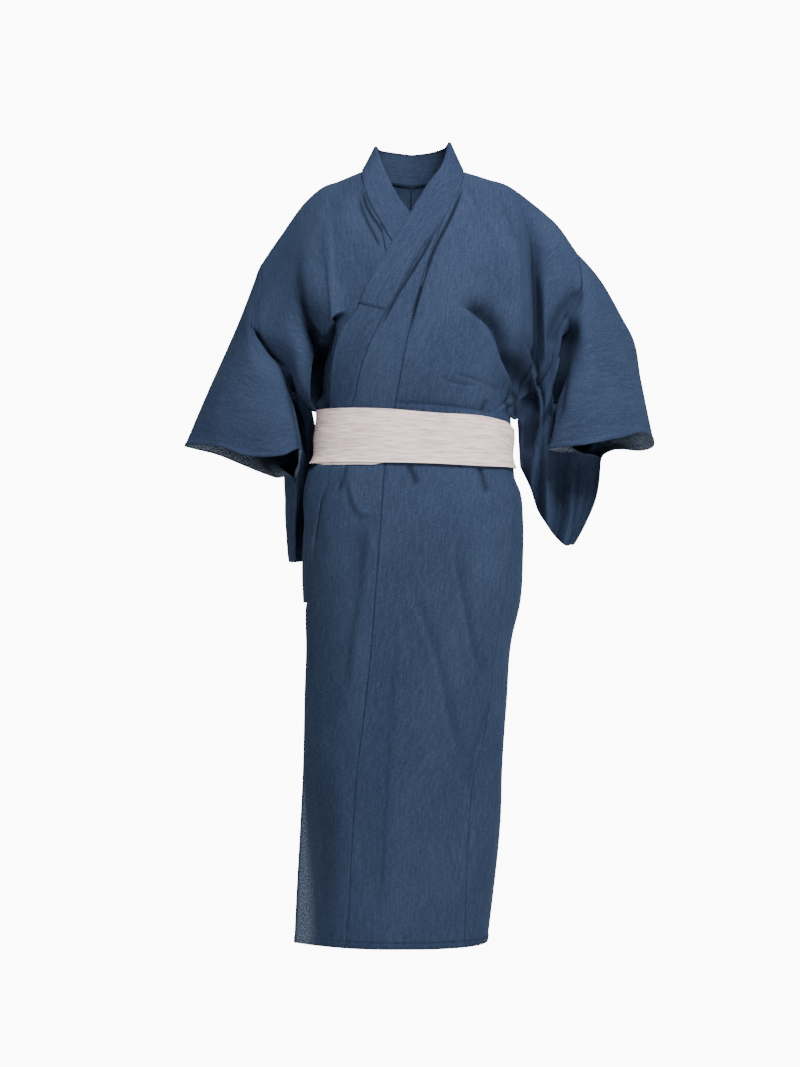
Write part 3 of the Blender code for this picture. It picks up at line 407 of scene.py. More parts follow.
# %% Where the front lies on the ovals
LINES = ("chest", "crest", "fold", "wall", "armhole")
LINE_SHARE = (0.38, 0.72, 0.79, 0.89, 1.0)   # where those lines cross the skirt's sections
TIP_LEVEL = 3           # the overlap's tip, and on the back the middle of the neck
LAYER_ANGLES = (-122, -102)     # where the right side passes in under the left
LAID_SIDE = (148, 112)          # x within which the front lies on the oval sections
LAID_TOP = (-28, -58)           # and the heights where that starts
LAID_WAIST = 22.0               # how much further out that reaches at the waist,
LAID_WAIST_Z = (-340, -400)     # over these heights
EDGE_ROUND = 1.02               # the collar's width round the oval, over its straight width


def collar_edge_angle(angle, z, sign):
    """The angle one collar width round from a seam at this angle."""
    across = column(RINGS, HALF, z)
    return angle - sign * np.degrees(COLLAR_WIDTH / across) * EDGE_ROUND


def front_depth(x, z):
    return -section_depth(x, z, FRONT)


print("front of the chest, mm:", front_depth(0, -200).round(1))

# %% The two sides of the body
class Side:
    """One side of the upper body, as lines that run from the front waist over the
    shoulder to the back waist. v is the distance along them."""

    def __init__(self, sign, front, back, tuck_z):
        self.sign = sign
        self.depth = 0.0 if sign > 0 else LAYER
        self.heights = (WAIST_Z, tuck_z)
        self.rows = np.append(SKIRT_ROWS, tuck_z)
        self.side_seam = "side_left" if sign > 0 else "side_right"
        lines = []
        for name, share in zip(LINES, LINE_SHARE):
            low = [self.on_skirt(z, share, False) for z in self.heights]
            high = [self.on_skirt(z, share, True) for z in self.heights[::-1]]
            lines.append(low + list(front[name][::-1]) + list(back[name]) + high)
        self.lines = np.array(lines, float)
        legs = np.linalg.norm(np.diff(self.lines, axis=1), axis=-1).mean(axis=0)
        self.v = np.concatenate([[0], np.cumsum(legs)])
        self.shoulder = len(front["chest"]) + 1
        self.tip = self.shoulder - TIP_LEVEL
        self.nape = self.shoulder + TIP_LEVEL
        self.collar = self.front_line("collar", front["collar_seam"], back["collar_seam"])
        self.edge = self.front_line("edge", front["neck_edge"], back["neck_edge"])
        self.overlap = self.front_line("overlap", front["overlap_seam"], ())[:self.tip + 1]
        centre = list(back["centre"]) + [self.on_skirt(z, 0, True) for z in self.heights[::-1]]
        self.centre = np.array(centre, float)
        widths = np.linalg.norm(np.diff(self.lines[:, 2:-2], axis=0), axis=-1).mean(axis=1)
        inner = np.linalg.norm(self.lines[0, 2:self.tip] - self.overlap[2:self.tip], axis=-1).mean()
        self.u = np.concatenate([[0, inner], inner + np.cumsum(widths)])

    def seam(self, name, z):
        angle = skirt_line(name, z)
        return angle if self.sign > 0 else -angle

    def on_skirt(self, z, share, behind):
        """A point at this share of the way from the overlap, or the back's middle, to the
        side seam."""
        start = self.sign * 180.0 if behind else self.seam("overlap", z)
        angle = start + (skirt_line(self.side_seam, z) - start) * share
        return wrapped(angle, z + 0 * angle, self.layer_depth(angle))

    def layer_depth(self, angle):
        """The right side lies under the overlap at the front and is outermost at the back."""
        if self.sign > 0:
            return 0.0 * angle
        return LAYER * smooth(*LAYER_ANGLES, angle)

    def front_line(self, name, front, back):
        rows = []
        for z in self.heights:
            angle = self.seam("overlap" if name == "overlap" else "collar", z)
            if name == "edge":
                angle = collar_edge_angle(angle, z, self.sign)
            rows.append(wrapped(angle, np.float64(z), self.depth))
        rows += [self.on_front(np.array(p, float)) if p[1] == 0 and i else np.array(p, float)
                 for i, p in reversed(list(enumerate(front)))]
        return np.array(rows + [np.array(p, float) for p in back])

    def on_front(self, point):
        point[1] = front_depth(point[0], point[2]) + self.depth
        return point

    def settle(self, points, v):
        """Lays the middle of the front exactly on the body's oval sections."""
        x, y, z = points[..., 0], points[..., 1], points[..., 2]
        low = LAID_WAIST * smooth(*LAID_WAIST_Z, z) * (self.sign > 0)
        middle = smooth(*LAID_SIDE, np.abs(x) - low) * smooth(*LAID_TOP, z)
        middle = np.where(v[:, None] < self.v[self.shoulder], middle, 0)
        slope_x = (front_depth(x + 1, z) - front_depth(x - 1, z)) / 2
        slope_z = (front_depth(x, z + 1) - front_depth(x, z - 1)) / 2
        laid = front_depth(x, z) + self.depth * np.sqrt(1 + slope_x**2 + slope_z**2)
        settled = points.copy()
        settled[..., 1] = y + (laid - y) * middle
        return settled

    def at(self, line, v):
        """Points of a line that starts at the waist and may end before the back."""
        return spline(self.v[:len(line)], line, np.asarray(v, float))

    def inner_edge(self, v):
        """The overlap seam, then the collar seam, then the centre back seam."""
        below = self.at(self.overlap, v)
        neck = self.at(self.collar, v)
        centre = spline(self.v[self.nape:], self.centre, v)
        v = v[:, None]
        front = np.where(v <= self.v[self.tip], below, neck)
        return np.where(v <= self.v[self.nape], front, centre)

    def body(self, u, v):
        v = np.asarray(v, float)
        lines = [self.inner_edge(v)] + [spline(self.v, line, v) for line in self.lines]
        points = spline(self.u, np.array(lines), u).transpose(1, 0, 2)
        return self.settle(points, v)

    def between(self, first, second, u, v):
        start = self.at(first, v)[:, None]
        end = self.at(second, v)[:, None]
        return start + (end - start) * np.asarray(u, float)[None, :, None]

    def overlap_top(self, u, v):
        """From the collar seam, u = 0, to the overlap seam, u = 1."""
        points = self.between(self.collar, self.overlap, u, v)
        angle = angle_at(points[..., 0], points[..., 2])
        return wrapped(angle, points[..., 2], self.depth)

    def collar_top(self, u, v):
        """From the neck edge, u = 0, to the collar seam, u = 1."""
        return self.settle(self.between(self.edge, self.collar, u, v), v)


LEFT = Side(1, LEFT_FRONT, LEFT_BACK, TUCK_LEFT_Z)
RIGHT = Side(-1, RIGHT_FRONT, RIGHT_BACK, TUCK_RIGHT_Z)
print("length over the shoulder, mm:", LEFT.v[-1].round(), RIGHT.v[-1].round())

# %% Surfaces below the waist
OFF_AHEAD = 0.2         # how far the free edge stands forward, over how far it stands aside


def skirt_part(side, behind):
    """The front from the overlap seam to the side seam, or the back from its middle."""
    def surface(u, z):
        share = spline(side.u, (0,) + LINE_SHARE, u)
        return side.on_skirt(z[:, None], share[None, :], behind)
    return surface


def overlap_skirt(side):
    """From the collar seam, or the free edge below it, to the overlap seam."""
    def surface(u, z):
        start = side.seam("collar", z)[:, None]
        share = u[None, :]
        angle = start + (side.seam("overlap", z)[:, None] - start) * share
        points = wrapped(angle, z[:, None] + 0 * angle, side.depth)
        off = column(SKIRT_SEAMS, STAND_OFF, z)[:, None] * (1 - share) ** 2 * (side.sign > 0)
        points[..., 0] -= off
        points[..., 1] -= OFF_AHEAD * off
        return points
    return surface


def collar_skirt(side):
    """The collar below the waist, from its free edge to its seam."""
    def surface(u, z):
        seam = side.seam("collar", z)[:, None]
        edge = collar_edge_angle(seam, z[:, None], side.sign)
        angle = edge + (seam - edge) * u[None, :]
        return wrapped(angle, z[:, None] + 0 * angle, side.depth)
    return surface


print("skirt's side seam at the hem, degrees:", skirt_line("side_right", HEM_Z).round(1))

# %% [markdown]
# ## The sleeves
# A yukata's sleeve is a flat bag, wide at the armhole and the same at the wrist, with the
# arm in its upper part. One hangs, the other is drawn back by a bent arm. A flat tube could
# be bent with an armature, but the slack would pinch. So the tube gets its own lines from
# armhole to cuff, and the armhole's line comes from the body so that the two meet exactly.

# %% Sleeve lines
# One row for each line from armhole to cuff, with a point at each of four stations; the
# armhole itself is the fifth. The lines go round the sleeve, from the top fold down the
# front to the bottom of the bag and up the back.
STATIONS = (0.0, 0.2, 0.45, 0.7, 1.0)
RIGHT_SLEEVE = {
    "top": ((-294, 0, -223), (-328, 0, -303), (-364, 0, -383), (-404, 0, -477)),
    "front_arm": ((-294, -34, -244), (-310, -50, -330), (-336, -52, -396), (-347, -50, -479)),
    "front": ((-286, -58, -288), (-270, -72, -352), (-281, -75, -411), (-281, -66, -498)),
    "front_low": ((-260, -61, -324), (-236, -66, -372), (-238, -72, -425), (-228, -70, -496)),
    "fold": ((-233, -46, -346), (-220, -52, -378), (-210, -58, -430), (-201, -54, -484)),
    "behind": ((-206, -20, -400), (-202, 10, -424), (-200, -10, -462), (-200, -32, -512)),
    "bag_front": ((-193, 14, -440), (-190, 70, -456), (-193, 60, -494), (-201, -22, -544)),
    "bag_mid": ((-192, 34, -492), (-192, 110, -530), (-197, 92, -580), (-205, -16, -618)),
    "bottom": ((-196, 48, -535), (-197, 130, -612), (-202, 104, -670), (-209, -6, -695)),
    "bag_mid_back": ((-204, 48, -490), (-208, 128, -530), (-214, 106, -580), (-214, -4, -618)),
    "bag_back": ((-209, 58, -436), (-216, 130, -456), (-220, 116, -490), (-214, 8, -542)),
    "back_low": ((-226, 74, -386), (-242, 120, -420), (-254, 114, -462), (-246, 30, -533)),
    "back": ((-240, 80, -338), (-264, 100, -384), (-282, 98, -432), (-276, 46, -522)),
    "back_arm": ((-280, 50, -270), (-309, 56, -338), (-338, 52, -406), (-350, 34, -492)),
}
LEFT_SLEEVE = {
    "top": ((339, 0, -187), (371, 0, -271), (390, -5, -356), (408, -20, -454)),
    "front_arm": ((318, -38, -222), (331, -50, -276), (343, -60, -363), (362, -65, -465)),
    "front": ((293, -56, -252), (296, -62, -283), (300, -82, -374), (300, -85, -478)),
    "trough": ((265, -38, -286), (272, -32, -305), (264, -70, -384), (243, -62, -484)),
    "ridge": ((259, -43, -328), (255, -36, -344), (254, -22, -404), (256, -16, -488)),
    "behind": ((241, -46, -384), (247, -32, -402), (262, 14, -452), (304, 14, -492)),
    "bag_front": ((222, -44, -438), (234, -20, -464), (272, 26, -496), (332, 30, -506)),
    "bag_mid": ((208, -12, -496), (230, 0, -552), (272, 18, -592), (326, 32, -578)),
    "bottom": ((206, 18, -540), (230, 24, -600), (263, 26, -645), (287, 28, -663)),
    "bag_mid_back": ((208, 32, -498), (232, 44, -552), (276, 48, -592), (330, 42, -578)),
    "bag_back": ((216, 40, -436), (246, 60, -462), (298, 66, -492), (345, 40, -506)),
    "back_low": ((246, 62, -366), (292, 82, -404), (340, 84, -450), (362, 60, -483)),
    "back": ((288, 78, -290), (342, 88, -338), (372, 86, -414), (412, 70, -484)),
    "back_arm": ((332, 46, -214), (394, 46, -276), (413, 54, -360), (434, 30, -470)),
}
# How far round the sleeve each line lies, from 0 at the top fold to 1 there again.
SLEEVE_TURNS = (
    0, 0.07, 0.14, 0.19, 0.235, 0.33, 0.395, 0.45, 0.5, 0.55, 0.605, 0.68, 0.76, 0.90)
print("sleeve lines", len(LEFT_SLEEVE), len(RIGHT_SLEEVE))

# %% The bag of the sleeve
ARMHOLE_TURN = 0.41     # where the armhole ends and the sleeve's own edge hangs on
BAG_DROP = 85.0         # length of that hanging edge
BAG_ROUND = 24.0        # reach of the rounding at the bag's outer corner
BAG_LIFT = 0.12         # share of the way up the bag's side that the corner is drawn
TURN_LENGTH = 1720.0    # length round the sleeve of one whole turn, near the corner
RUN_LENGTH = 200.0      # length along the sleeve, near the corner
BAG_OUT = (5.0, -12.0)  # how far the hanging edge slants out, wearer's left and right
BAG_BACK = (8.0, 62.0)  # and how far back
HANG_HALF = 1.9         # half the sleeve's thickness along its hanging edge
HANG_CLOSE = 0.8        # how much of that is gone at the edge's foot
BAG_TURNS = (0.34, 0.45, 0.80, 0.60)    # round the sleeve, where the folds begin and end

# The bag's slack hangs in upright folds. Each row moves both sheets at one place s along
# the sleeve, by this much to the back or to the wearer's left.
BAG_FOLDS = (
    # s, wearer's left sleeve (to the back), right sleeve (to the left)
    (0.0, 0, 0),
    (0.14, 0, 0),
    (0.27, -13, 9),
    (0.40, 15, -15),
    (0.53, -14, 17),
    (0.66, 16, -17),
    (0.78, -15, 16),
    (0.90, 13, -14),
    (1.0, -3, 3),
)
print("bag folds", len(BAG_FOLDS))

# %% The sleeves' surfaces
class Sleeve:
    """A flattened tube: turn goes round it from the top fold down the front, and
    s runs along it from the armhole to the cuff."""

    def __init__(self, side, table):
        self.side = side
        self.lines = np.array(list(table.values()), float)
        turns = np.array(SLEEVE_TURNS + (1.0,))
        # A coarse grid is enough to read the sleeve's normals along the armhole.
        self.columns = steps(turns, [3, 2, 2, 2, 3, 2, 2, 2, 2, 2, 2, 2, 3, 3])[:-1]
        s = steps(STATIONS, [3, 4, 4, 5])
        self.normals = patch(self.surface, self.columns, s, step=1e-4)[1]
        self.edge_v = steps(side.v[2:-2], [2] * (len(side.v) - 5))
        self.edge_normals = patch(side.body, side.u[-2:], self.edge_v, AXIS)[1][:, -1]

    def height_at(self, turn):
        """The armhole's own distance v at each turn, and whether it's on the armhole."""
        side = self.side
        top, low, high = side.v[side.shoulder], side.v[2], side.v[-3]
        front = top + (low - top) * turn / ARMHOLE_TURN
        back = top + (high - top) * (1 - turn) / ARMHOLE_TURN
        v = np.where(turn < 0.5, front, back)
        return np.clip(v, low, high), (v >= low) & (v <= high)

    def shared_normals(self, v):
        """Normals midway between the body's and the sleeve's along the armhole."""
        turn_v, on = self.height_at(self.columns)
        order = np.argsort(turn_v[on])
        own = self.normals[0][on][order]
        total = 0
        for knots, values in ((turn_v[on][order], own), (self.edge_v, self.edge_normals)):
            total = total + np.stack([np.interp(v, knots, values[:, i]) for i in range(3)], -1)
        return unit(total)

    def armhole(self, turn):
        """The armhole, closed by the edge that hangs below it."""
        side = self.side
        turn = np.asarray(turn, float) % 1.0
        points = spline(side.v, side.lines[-1], self.height_at(turn)[0])
        hang = np.clip((0.5 - np.abs(turn - 0.5) - ARMHOLE_TURN) / (0.5 - ARMHOLE_TURN), 0, 1)
        which = 0 if side.sign > 0 else 1
        points[..., 2] -= BAG_DROP * hang
        points[..., 0] += side.sign * BAG_OUT[which] * hang
        middle = (side.lines[-1, 2, 1] + side.lines[-1, -3, 1]) / 2
        middle += BAG_BACK[which] * hang * (2 - hang)
        half = np.where(turn < 0.5, -1, 1) * HANG_HALF
        flat = smooth(0, 0.3, hang)
        half = half * (1 - HANG_CLOSE * smooth(0.97, 1, hang))
        points[..., 1] += (middle + half - points[..., 1]) * flat
        return points

    def surface(self, turn, s):
        turn = np.asarray(turn, float)
        ends = self.armhole(np.array(SLEEVE_TURNS))[:, None]
        lines = np.concatenate([ends, self.lines], axis=1)
        wraps = (lines[-2:], lines, lines[:3])
        knots = np.array(SLEEVE_TURNS)
        knots = np.concatenate([knots[-2:] - 1, knots, knots[:3] + 1])
        along = spline(STATIONS, np.concatenate(wraps).transpose(1, 0, 2), s)
        points = spline(knots, along.transpose(1, 0, 2), turn % 1.0).transpose(1, 0, 2)
        # Near the armhole the sleeve follows it exactly, not the lines between.
        exact = self.armhole(turn)[None]
        rough = spline(knots, np.concatenate([ends[-2:], ends, ends[:3]])[:, 0], turn % 1.0)[None]
        near = (1 - np.clip(np.asarray(s, float), 0, None) / STATIONS[1]).clip(0)[:, None, None]
        return self.rounded(points + (exact - rough) * near ** 2 + self.folds(turn, s), turn, s)

    def folds(self, turn, s):
        """The upright folds of the bag, which carry its two sheets together."""
        left = self.side.sign > 0
        folds = np.array(BAG_FOLDS, float)
        stand = spline(folds[:, 0], folds[:, 1 if left else 2], np.clip(s, 0, 1))
        turn = turn % 1.0
        hung = smooth(*BAG_TURNS[:2], turn) * smooth(*BAG_TURNS[2:], turn)
        move = np.zeros((len(stand), len(turn), 3))
        move[..., 1 if left else 0] = stand[:, None] * hung
        return move

    def rounded(self, points, turn, s):
        """Draws the bag's outer lower corner up a little, so that it ends round."""
        side_step = np.abs(turn % 1.0 - 0.5)[None, :] * TURN_LENGTH
        end_step = (1 - np.asarray(s, float))[:, None] * RUN_LENGTH
        reach = np.exp(-(side_step**2 + end_step**2) / BAG_ROUND**2)
        lowest = SLEEVE_TURNS.index(0.5)
        side_middle = self.lines[lowest - 1, -2:].mean(axis=0)
        lift = (side_middle - self.lines[lowest, -1]) * BAG_LIFT
        return points + lift[None, None] * reach[..., None]


LEFT.sleeve = Sleeve(LEFT, LEFT_SLEEVE)
RIGHT.sleeve = Sleeve(RIGHT, RIGHT_SLEEVE)
print("sleeve surfaces ready")

# %% [markdown]
# ## Creases
# Worn cotton falls in soft folds where it is pulled, tucked or held. They could be sculpted
# by brush, but a table of paths can be read, measured and changed one by one. Each row is one
# fold along a path of x, z pairs in millimetres. Going along the path, the cloth stands at
# one height on its left and another on its right (below zero is a trough) and dies away over
# the two widths, so a row can be a ridge, a groove or a lip.

# %% Creases of the outer front's chest
# name, left height and width, right height and width, path
CHEST = (
    ("pull_a", -3.2, 2.6, -3.2, 3.2, (95, -6, 69, -77, 38, -141, 7, -238, -7, -294)),
    ("pull_a_ridge", 1.2, 8, 1.2, 8, (114, -37, 87, -89, 59, -150, 28, -238)),
    ("pull_b", -2.6, 2.6, -2.2, 3.4, (48, -92, 10, -162, -24, -217, -59, -283)),
    ("neck_soft", -2.0, 10, -1.0, 16, (90, -13, 114, -65, 135, -124)),
    ("shoulder", -2.5, 8, -1.0, 18, (156, -40, 170, -89, 191, -131)),
    ("pocket", -17.0, 21, 1.5, 12, (
        78, -239, 100, -248, 125, -266, 146, -299, 157, -330, 172, -356, 186, -392)),
    ("pocket_low", -6.0, 12, -6.0, 12, (160, -318, 184, -346, 203, -380, 212, -430)),
    ("fold_low", -6, 8, 1.0, 9, (203, -285, 208, -306, 217, -356, 226, -399, 229, -458)),
    ("waist_line", -2.0, 4, 1.0, 8, (69, -356, 109, -367, 161, -387)),
    ("waist_line_2", -1.5, 4, 0.8, 8, (41, -360, 74, -374, 118, -377)),
    ("sash_top", -1.0, 8, -2.5, 4, (-56, -403, 48, -408, 166, -424)),
    ("tuck_1", -2.5, 4, -2.5, 4, (133, -398, 125, -412, 121, -426)),
    ("side_tuck", -3.5, 3.5, -1.0, 6, (177, -356, 170, -393, 165, -433)),
    ("side_tuck_2", -4.0, 4, -3.0, 4, (186, -374, 184, -401, 184, -443)),
)
print("chest creases", len(CHEST))

# %% Creases of the inner front
UNDER = (
    ("wedge", -22, 13, 3.0, 16, (-108, -247, -133, -256, -153, -282, -167, -306, -176, -352, -176, -414)),
    ("lobe_line", -6, 5, -4, 7, (-197, -219, -187, -254, -173, -275, -153, -299)),
    ("lobe_low", -10, 9, 1.0, 9, (-185, -271, -174, -303, -173, -334)),
    ("lobe_ridge", 3, 10, 3, 10, (-202, -292, -201, -352, -197, -418)),
    ("collar_pull_1", -2.4, 2.6, -2.4, 3.2, (-89, -24, -79, -62, -58, -97, -38, -127)),
    ("collar_pull_2", -2.0, 2.6, -2.0, 3.4, (-94, -34, -84, -76, -66, -114, -52, -142)),
    ("chest_soft", -2.0, 20, 1.0, 20, (-143, -78, -138, -156, -129, -226)),
)
print("inner front creases", len(UNDER))

# %% Creases of the sleeves
SLEEVE = (
    ("under_arm", -5, 4.5, 1.0, 10, (-280, -271, -264, -300, -241, -328, -218, -346)),
    ("arm_side", -8, 5, -5, 7, (-225, -339, -214, -370, -206, -409, -197, -451, -193, -507)),
    ("arm_facet", 1.5, 30, -2.0, 40, (-264, -156, -274, -223, -264, -302)),
    ("soft_trough", -5, 13, -6, 13, (306, -198, 281, -226, 264, -249, 251, -275, 246, -314)),
    ("pit", -17, 19, 2.0, 8, (273, -241, 264, -300, 255, -342, 246, -391, 237, -451)),
    ("bag_shade", -9, 15, -9, 15, (204, -366, 209, -430, 207, -500)),
    ("top_press", 2.5, 6, 1.5, 8, (350, -223, 376, -312, 403, -455)),
    ("shoulder_press", 1.5, 6, 1.0, 8, (260, -103, 309, -159, 345, -219)),
    ("bag_ridge", 4, 12, -5, 12, (306, -495, 302, -574, 288, -644)),
)
print("sleeve creases", len(SLEEVE))

# %% Creases of the skirt
SKIRT = (
    ("tuck_right", -4, 6, 1.5, 9, (-116, -511, -123, -535, -135, -568)),
    ("lit_ridge", 4.0, 10, -2.0, 12, (-113, -537, -106, -572, -92, -599, -59, -603)),
    ("dark_edge", -2.5, 5, 1.5, 24, (-140, -523, -160, -575, -172, -644, -179, -696)),
    ("dark_band", 5.0, 34, -5.0, 36, (-80, -603, -87, -714, -104, -817, -115, -921)),
    ("tuck_1", -4, 5, -3, 7, (-9, -513, 0, -530, 10, -551)),
    ("tuck_2", -4, 5, -3, 7, (116, -513, 123, -537, 131, -565)),
    ("diagonal_low", -4.0, 14, 5.0, 16, (-11, -724, 34, -830, 59, -939, 79, -1013, 107, -1063)),
    ("diagonal_high", -4.0, 14, 5.0, 18, (66, -658, 86, -748, 109, -852, 135, -907)),
    ("side_bump", 3, 12, -3, 12, (138, -921, 131, -963, 107, -1032, 97, -1095)),
    ("middle_soft", 2.0, 22, -2.0, 30, (-21, -783, -35, -956, -49, -1198, -56, -1320)),
)
print("skirt creases", len(SKIRT))

# %% Creases of the back
BACK = (
    ("centre", -3, 8, -2, 16, (14, -60, 20, -200, 16, -330)),
    ("left", -9, 14, 3, 16, (162, -120, 146, -230, 124, -330, 112, -410)),
    ("left_low", 3, 12, -6, 14, (96, -260, 92, -340, 84, -412)),
    ("right", 3, 16, -9, 14, (-158, -130, -144, -230, -122, -330, -110, -410)),
    ("right_low", -6, 14, 3, 12, (-92, -270, -88, -350, -80, -412)),
    ("blouse_left", 4, 12, -3, 10, (40, -352, 84, -382, 146, -398)),
    ("blouse_right", -3, 10, 4, 12, (-40, -356, -84, -384, -140, -396)),
    ("seat_left", 4, 18, -4, 14, (46, -520, 70, -640, 78, -800)),
    ("seat_right", -4, 14, 4, 18, (-50, -520, -76, -660, -90, -840)),
    ("low", 4, 22, -3, 30, (-10, -700, 14, -960, 26, -1250)),
    ("sleeve_left", -6, 12, 3, 16, (232, -150, 262, -250, 284, -360)),
    ("sleeve_left_2", 3, 14, -6, 12, (322, -190, 342, -300, 350, -420)),
    ("sleeve_right", -6, 12, 3, 16, (-226, -170, -238, -270, -246, -380)),
    ("sleeve_right_2", 3, 14, -6, 12, (-292, -230, -316, -330, -330, -440)),
)
print("back creases", len(BACK))

# %% Shaded places
# Cloth that lies in the shade of the layers round it, as soft ovals.
SHADES = (
    # x, z, reach across, reach down, darkness
    (209, -420, 15, 62, 0.85),
    (197, -352, 19, 52, 0.80),
    (-148, -1190, 30, 210, 0.50),
    (-160, -640, 20, 120, 0.30),
    (-134, -890, 32, 250, 0.28),
    (281, -286, 13, 26, 0.70),
    (267, -330, 12, 40, 0.75),
    (253, -388, 8, 50, 0.80),
    (240, -296, 8, 30, 0.35),
)
print("shaded places", len(SHADES))

# %% Relief from the crease tables
CREASE_STEP = 1.6       # half the width over which a fold changes from one side to the other
CREASE_REACH = 2.6      # how many widths out a fold is worth measuring
CREASE_ENDS = 0.2       # share of its path over which it rises from nothing
STEEP = 0.9             # depth over width at which a fold's painted shade is as dark as it gets
PATH_PARTS = 24         # straight parts that stand for a curved path


def path_distance(x, z, path):
    """Distance to a path of x, z pairs, its sign by side, and the share along it."""
    corners = np.array(path, float).reshape(-1, 2)
    knots = np.concatenate([[0], np.cumsum(np.linalg.norm(np.diff(corners, axis=0), axis=1))])
    fine = spline(knots, corners, np.linspace(0, knots[-1], PATH_PARTS + 1))
    best = np.full(x.shape, 1e9)
    signed = np.zeros(x.shape)
    share = np.zeros(x.shape)
    for i, (a, b) in enumerate(zip(fine, fine[1:])):
        run = b - a
        t = ((x - a[0]) * run[0] + (z - a[1]) * run[1]) / (run @ run)
        near = np.clip(t, 0, 1)
        dx, dz = x - a[0] - near * run[0], z - a[1] - near * run[1]
        d = np.hypot(dx, dz)
        closer = d < best
        best = np.where(closer, d, best)
        turn = np.sign(run[0] * dz - run[1] * dx)
        signed = np.where(closer, d * turn, signed)
        share = np.where(closer, (i + near) / PATH_PARTS, share)
    return signed, share


def relief(x, z, rows):
    """Height of all the creases in a table at each x, z, and how dark a fold's painted shade is there."""
    height = np.zeros(x.shape)
    deep = np.zeros(x.shape)
    for _, left, left_width, right, right_width, path in rows:
        xs, zs, reach = path[0::2], path[1::2], CREASE_REACH * max(left_width, right_width)
        near = (x > min(xs) - reach) & (x < max(xs) + reach)
        near &= (z > min(zs) - reach) & (z < max(zs) + reach)
        if not near.any():
            continue
        d, t = path_distance(x[near], z[near], path)
        half = max(CREASE_STEP, min(left_width, right_width) / 4)
        on_left = smooth(-half, half, d)
        low = right * fade(d, right_width)
        high = left * fade(d, left_width)
        stand = (low + (high - low) * on_left) * smooth(0, CREASE_ENDS, t)
        stand = stand * smooth(1, 1 - CREASE_ENDS, t)
        height[near] += stand
        # Painted shade: the deeper a fold's floor lies for its width, the darker it is painted.
        steep = STEEP * (right_width + (left_width - right_width) * on_left)
        deep[near] = np.maximum(deep[near], -stand / steep)
    return height, np.minimum(deep, 1)


def shaded(x, z):
    """How dark the shaded ovals make the cloth at each x, z."""
    dark = np.zeros(x.shape)
    for middle_x, middle_z, across, down, amount in SHADES:
        away = ((x - middle_x) / across) ** 2 + ((z - middle_z) / down) ** 2
        dark = np.maximum(dark, amount * np.exp(-away))
    return dark


print("longest crease path:", max(len(row[5]) // 2 for row in SLEEVE + CHEST), "points")

# %% Laying the creases on a piece
SWELL = (60, 4, 1.0)    # size, seed and height of the slow swells
SWELLS = 7              # how many are added up
SWELL_DOWN = 0.35       # how fast they follow each other down the cloth, over across it
SWELL_ROUND = 0.6       # how far they turn with the cloth round the sides
SWELL_SPREAD = 3.0      # about how high so many of them add up to
SWELL_TOP = (-20, -90)  # heights over which they begin
TIED = (41, 52)         # from the sash's middle, where the cloth under it stops being flat
TIED_SLANT = 0.06       # the sash runs down to one side
TIED_WITHIN = 195       # and holds only what lies this close to the body's middle
FACING = (0.05, 0.35)   # how far cloth faces front or back before it takes those creases
OUTER_ROWS = CHEST + SLEEVE + SKIRT
INNER_ROWS = CHEST + UNDER + SLEEVE + SKIRT


def waves(x, z, size, seed, high):
    """Uneven softness of hanging cloth: a few slow swells."""
    rng = np.random.default_rng(seed)
    total = np.zeros(x.shape)
    for _ in range(SWELLS):
        across, down = rng.normal(0, 1, 2)
        total += np.sin((across * x + SWELL_DOWN * down * z) * (2 / size) + rng.uniform(0, 6.3))
    return total * high / SWELL_SPREAD


def creased(points, normals, front_rows, still=0.0):
    """Lays the creases on a piece; `still` is 1 where it must keep its place. Gives the
    moved points and how dark each is painted, from 0 to 1: painted shade on fold floors and
    in the shaded ovals."""
    x, z = points[..., 0], points[..., 2]
    front = smooth(FACING[0], -FACING[1], normals[..., 1])
    back = smooth(-FACING[0], FACING[1], normals[..., 1])
    front_height, front_deep = relief(x, z, front_rows)
    back_height, back_deep = relief(x, z, BACK)
    swell = smooth(*SWELL_TOP, z) * waves(x + SWELL_ROUND * points[..., 1], z, *SWELL)
    tied = smooth(*TIED, np.abs(z - WAIST_Z + TIED_SLANT * x))
    tied = np.where(np.hypot(x, points[..., 1]) < TIED_WITHIN, tied, 1.0)
    total = (front * front_height + back * back_height + swell) * tied * (1 - still)
    # Painted shade: the floors of folds, and on the front the shaded ovals, are darkened.
    deep = (front * front_deep + back * back_deep) * tied
    return points + normals * total[..., None], np.maximum(deep, front * shaded(x, z))


print("creases", len(INNER_ROWS) + len(BACK))

# %% [markdown]
# ## Making a shell
# Cloth has two faces and an edge. A Solidify modifier would add them, but it knows nothing
# of the tube's closed sides or of marks on the cloth. This helper writes outer face, inner
# face and rim itself, with a UV in metres of cloth: u across the warp, v along it. It also
# keeps two marks on the points: "deep", painted shade on the floors of folds and in shaded
# places and the dark lines of seams and edges, and "thin" for single plies, where painted
# light stands for the light that comes through.

# %% Helpers for a shell
def arc(points, axis, start):
    """Arc length in metres along an axis of the grid, zero at the start column."""
    legs = np.linalg.norm(np.diff(points, axis=axis), axis=-1)
    pad = [(0, 0), (0, 0)]
    pad[axis] = (1, 0)
    total = np.pad(np.cumsum(legs, axis=axis), pad) * MM
    return total - np.take(total, [start], axis=axis)


def weld(mesh):
    """Joins the first and last columns of a tube; its UV keeps the jump."""
    work = bmesh.new()
    work.from_mesh(mesh)
    bmesh.ops.remove_doubles(work, verts=work.verts, dist=1e-6)
    work.to_mesh(mesh)
    work.free()


def linked(name, data):
    """A new object in the scene, at the origin."""
    thing = bpy.data.objects.new(name, data)
    bpy.context.scene.collection.objects.link(thing)
    return thing


print("helpers for a shell ready")

# %% Shell maker
SHARP = 1.0             # radians between faces, above which an edge isn't smoothed


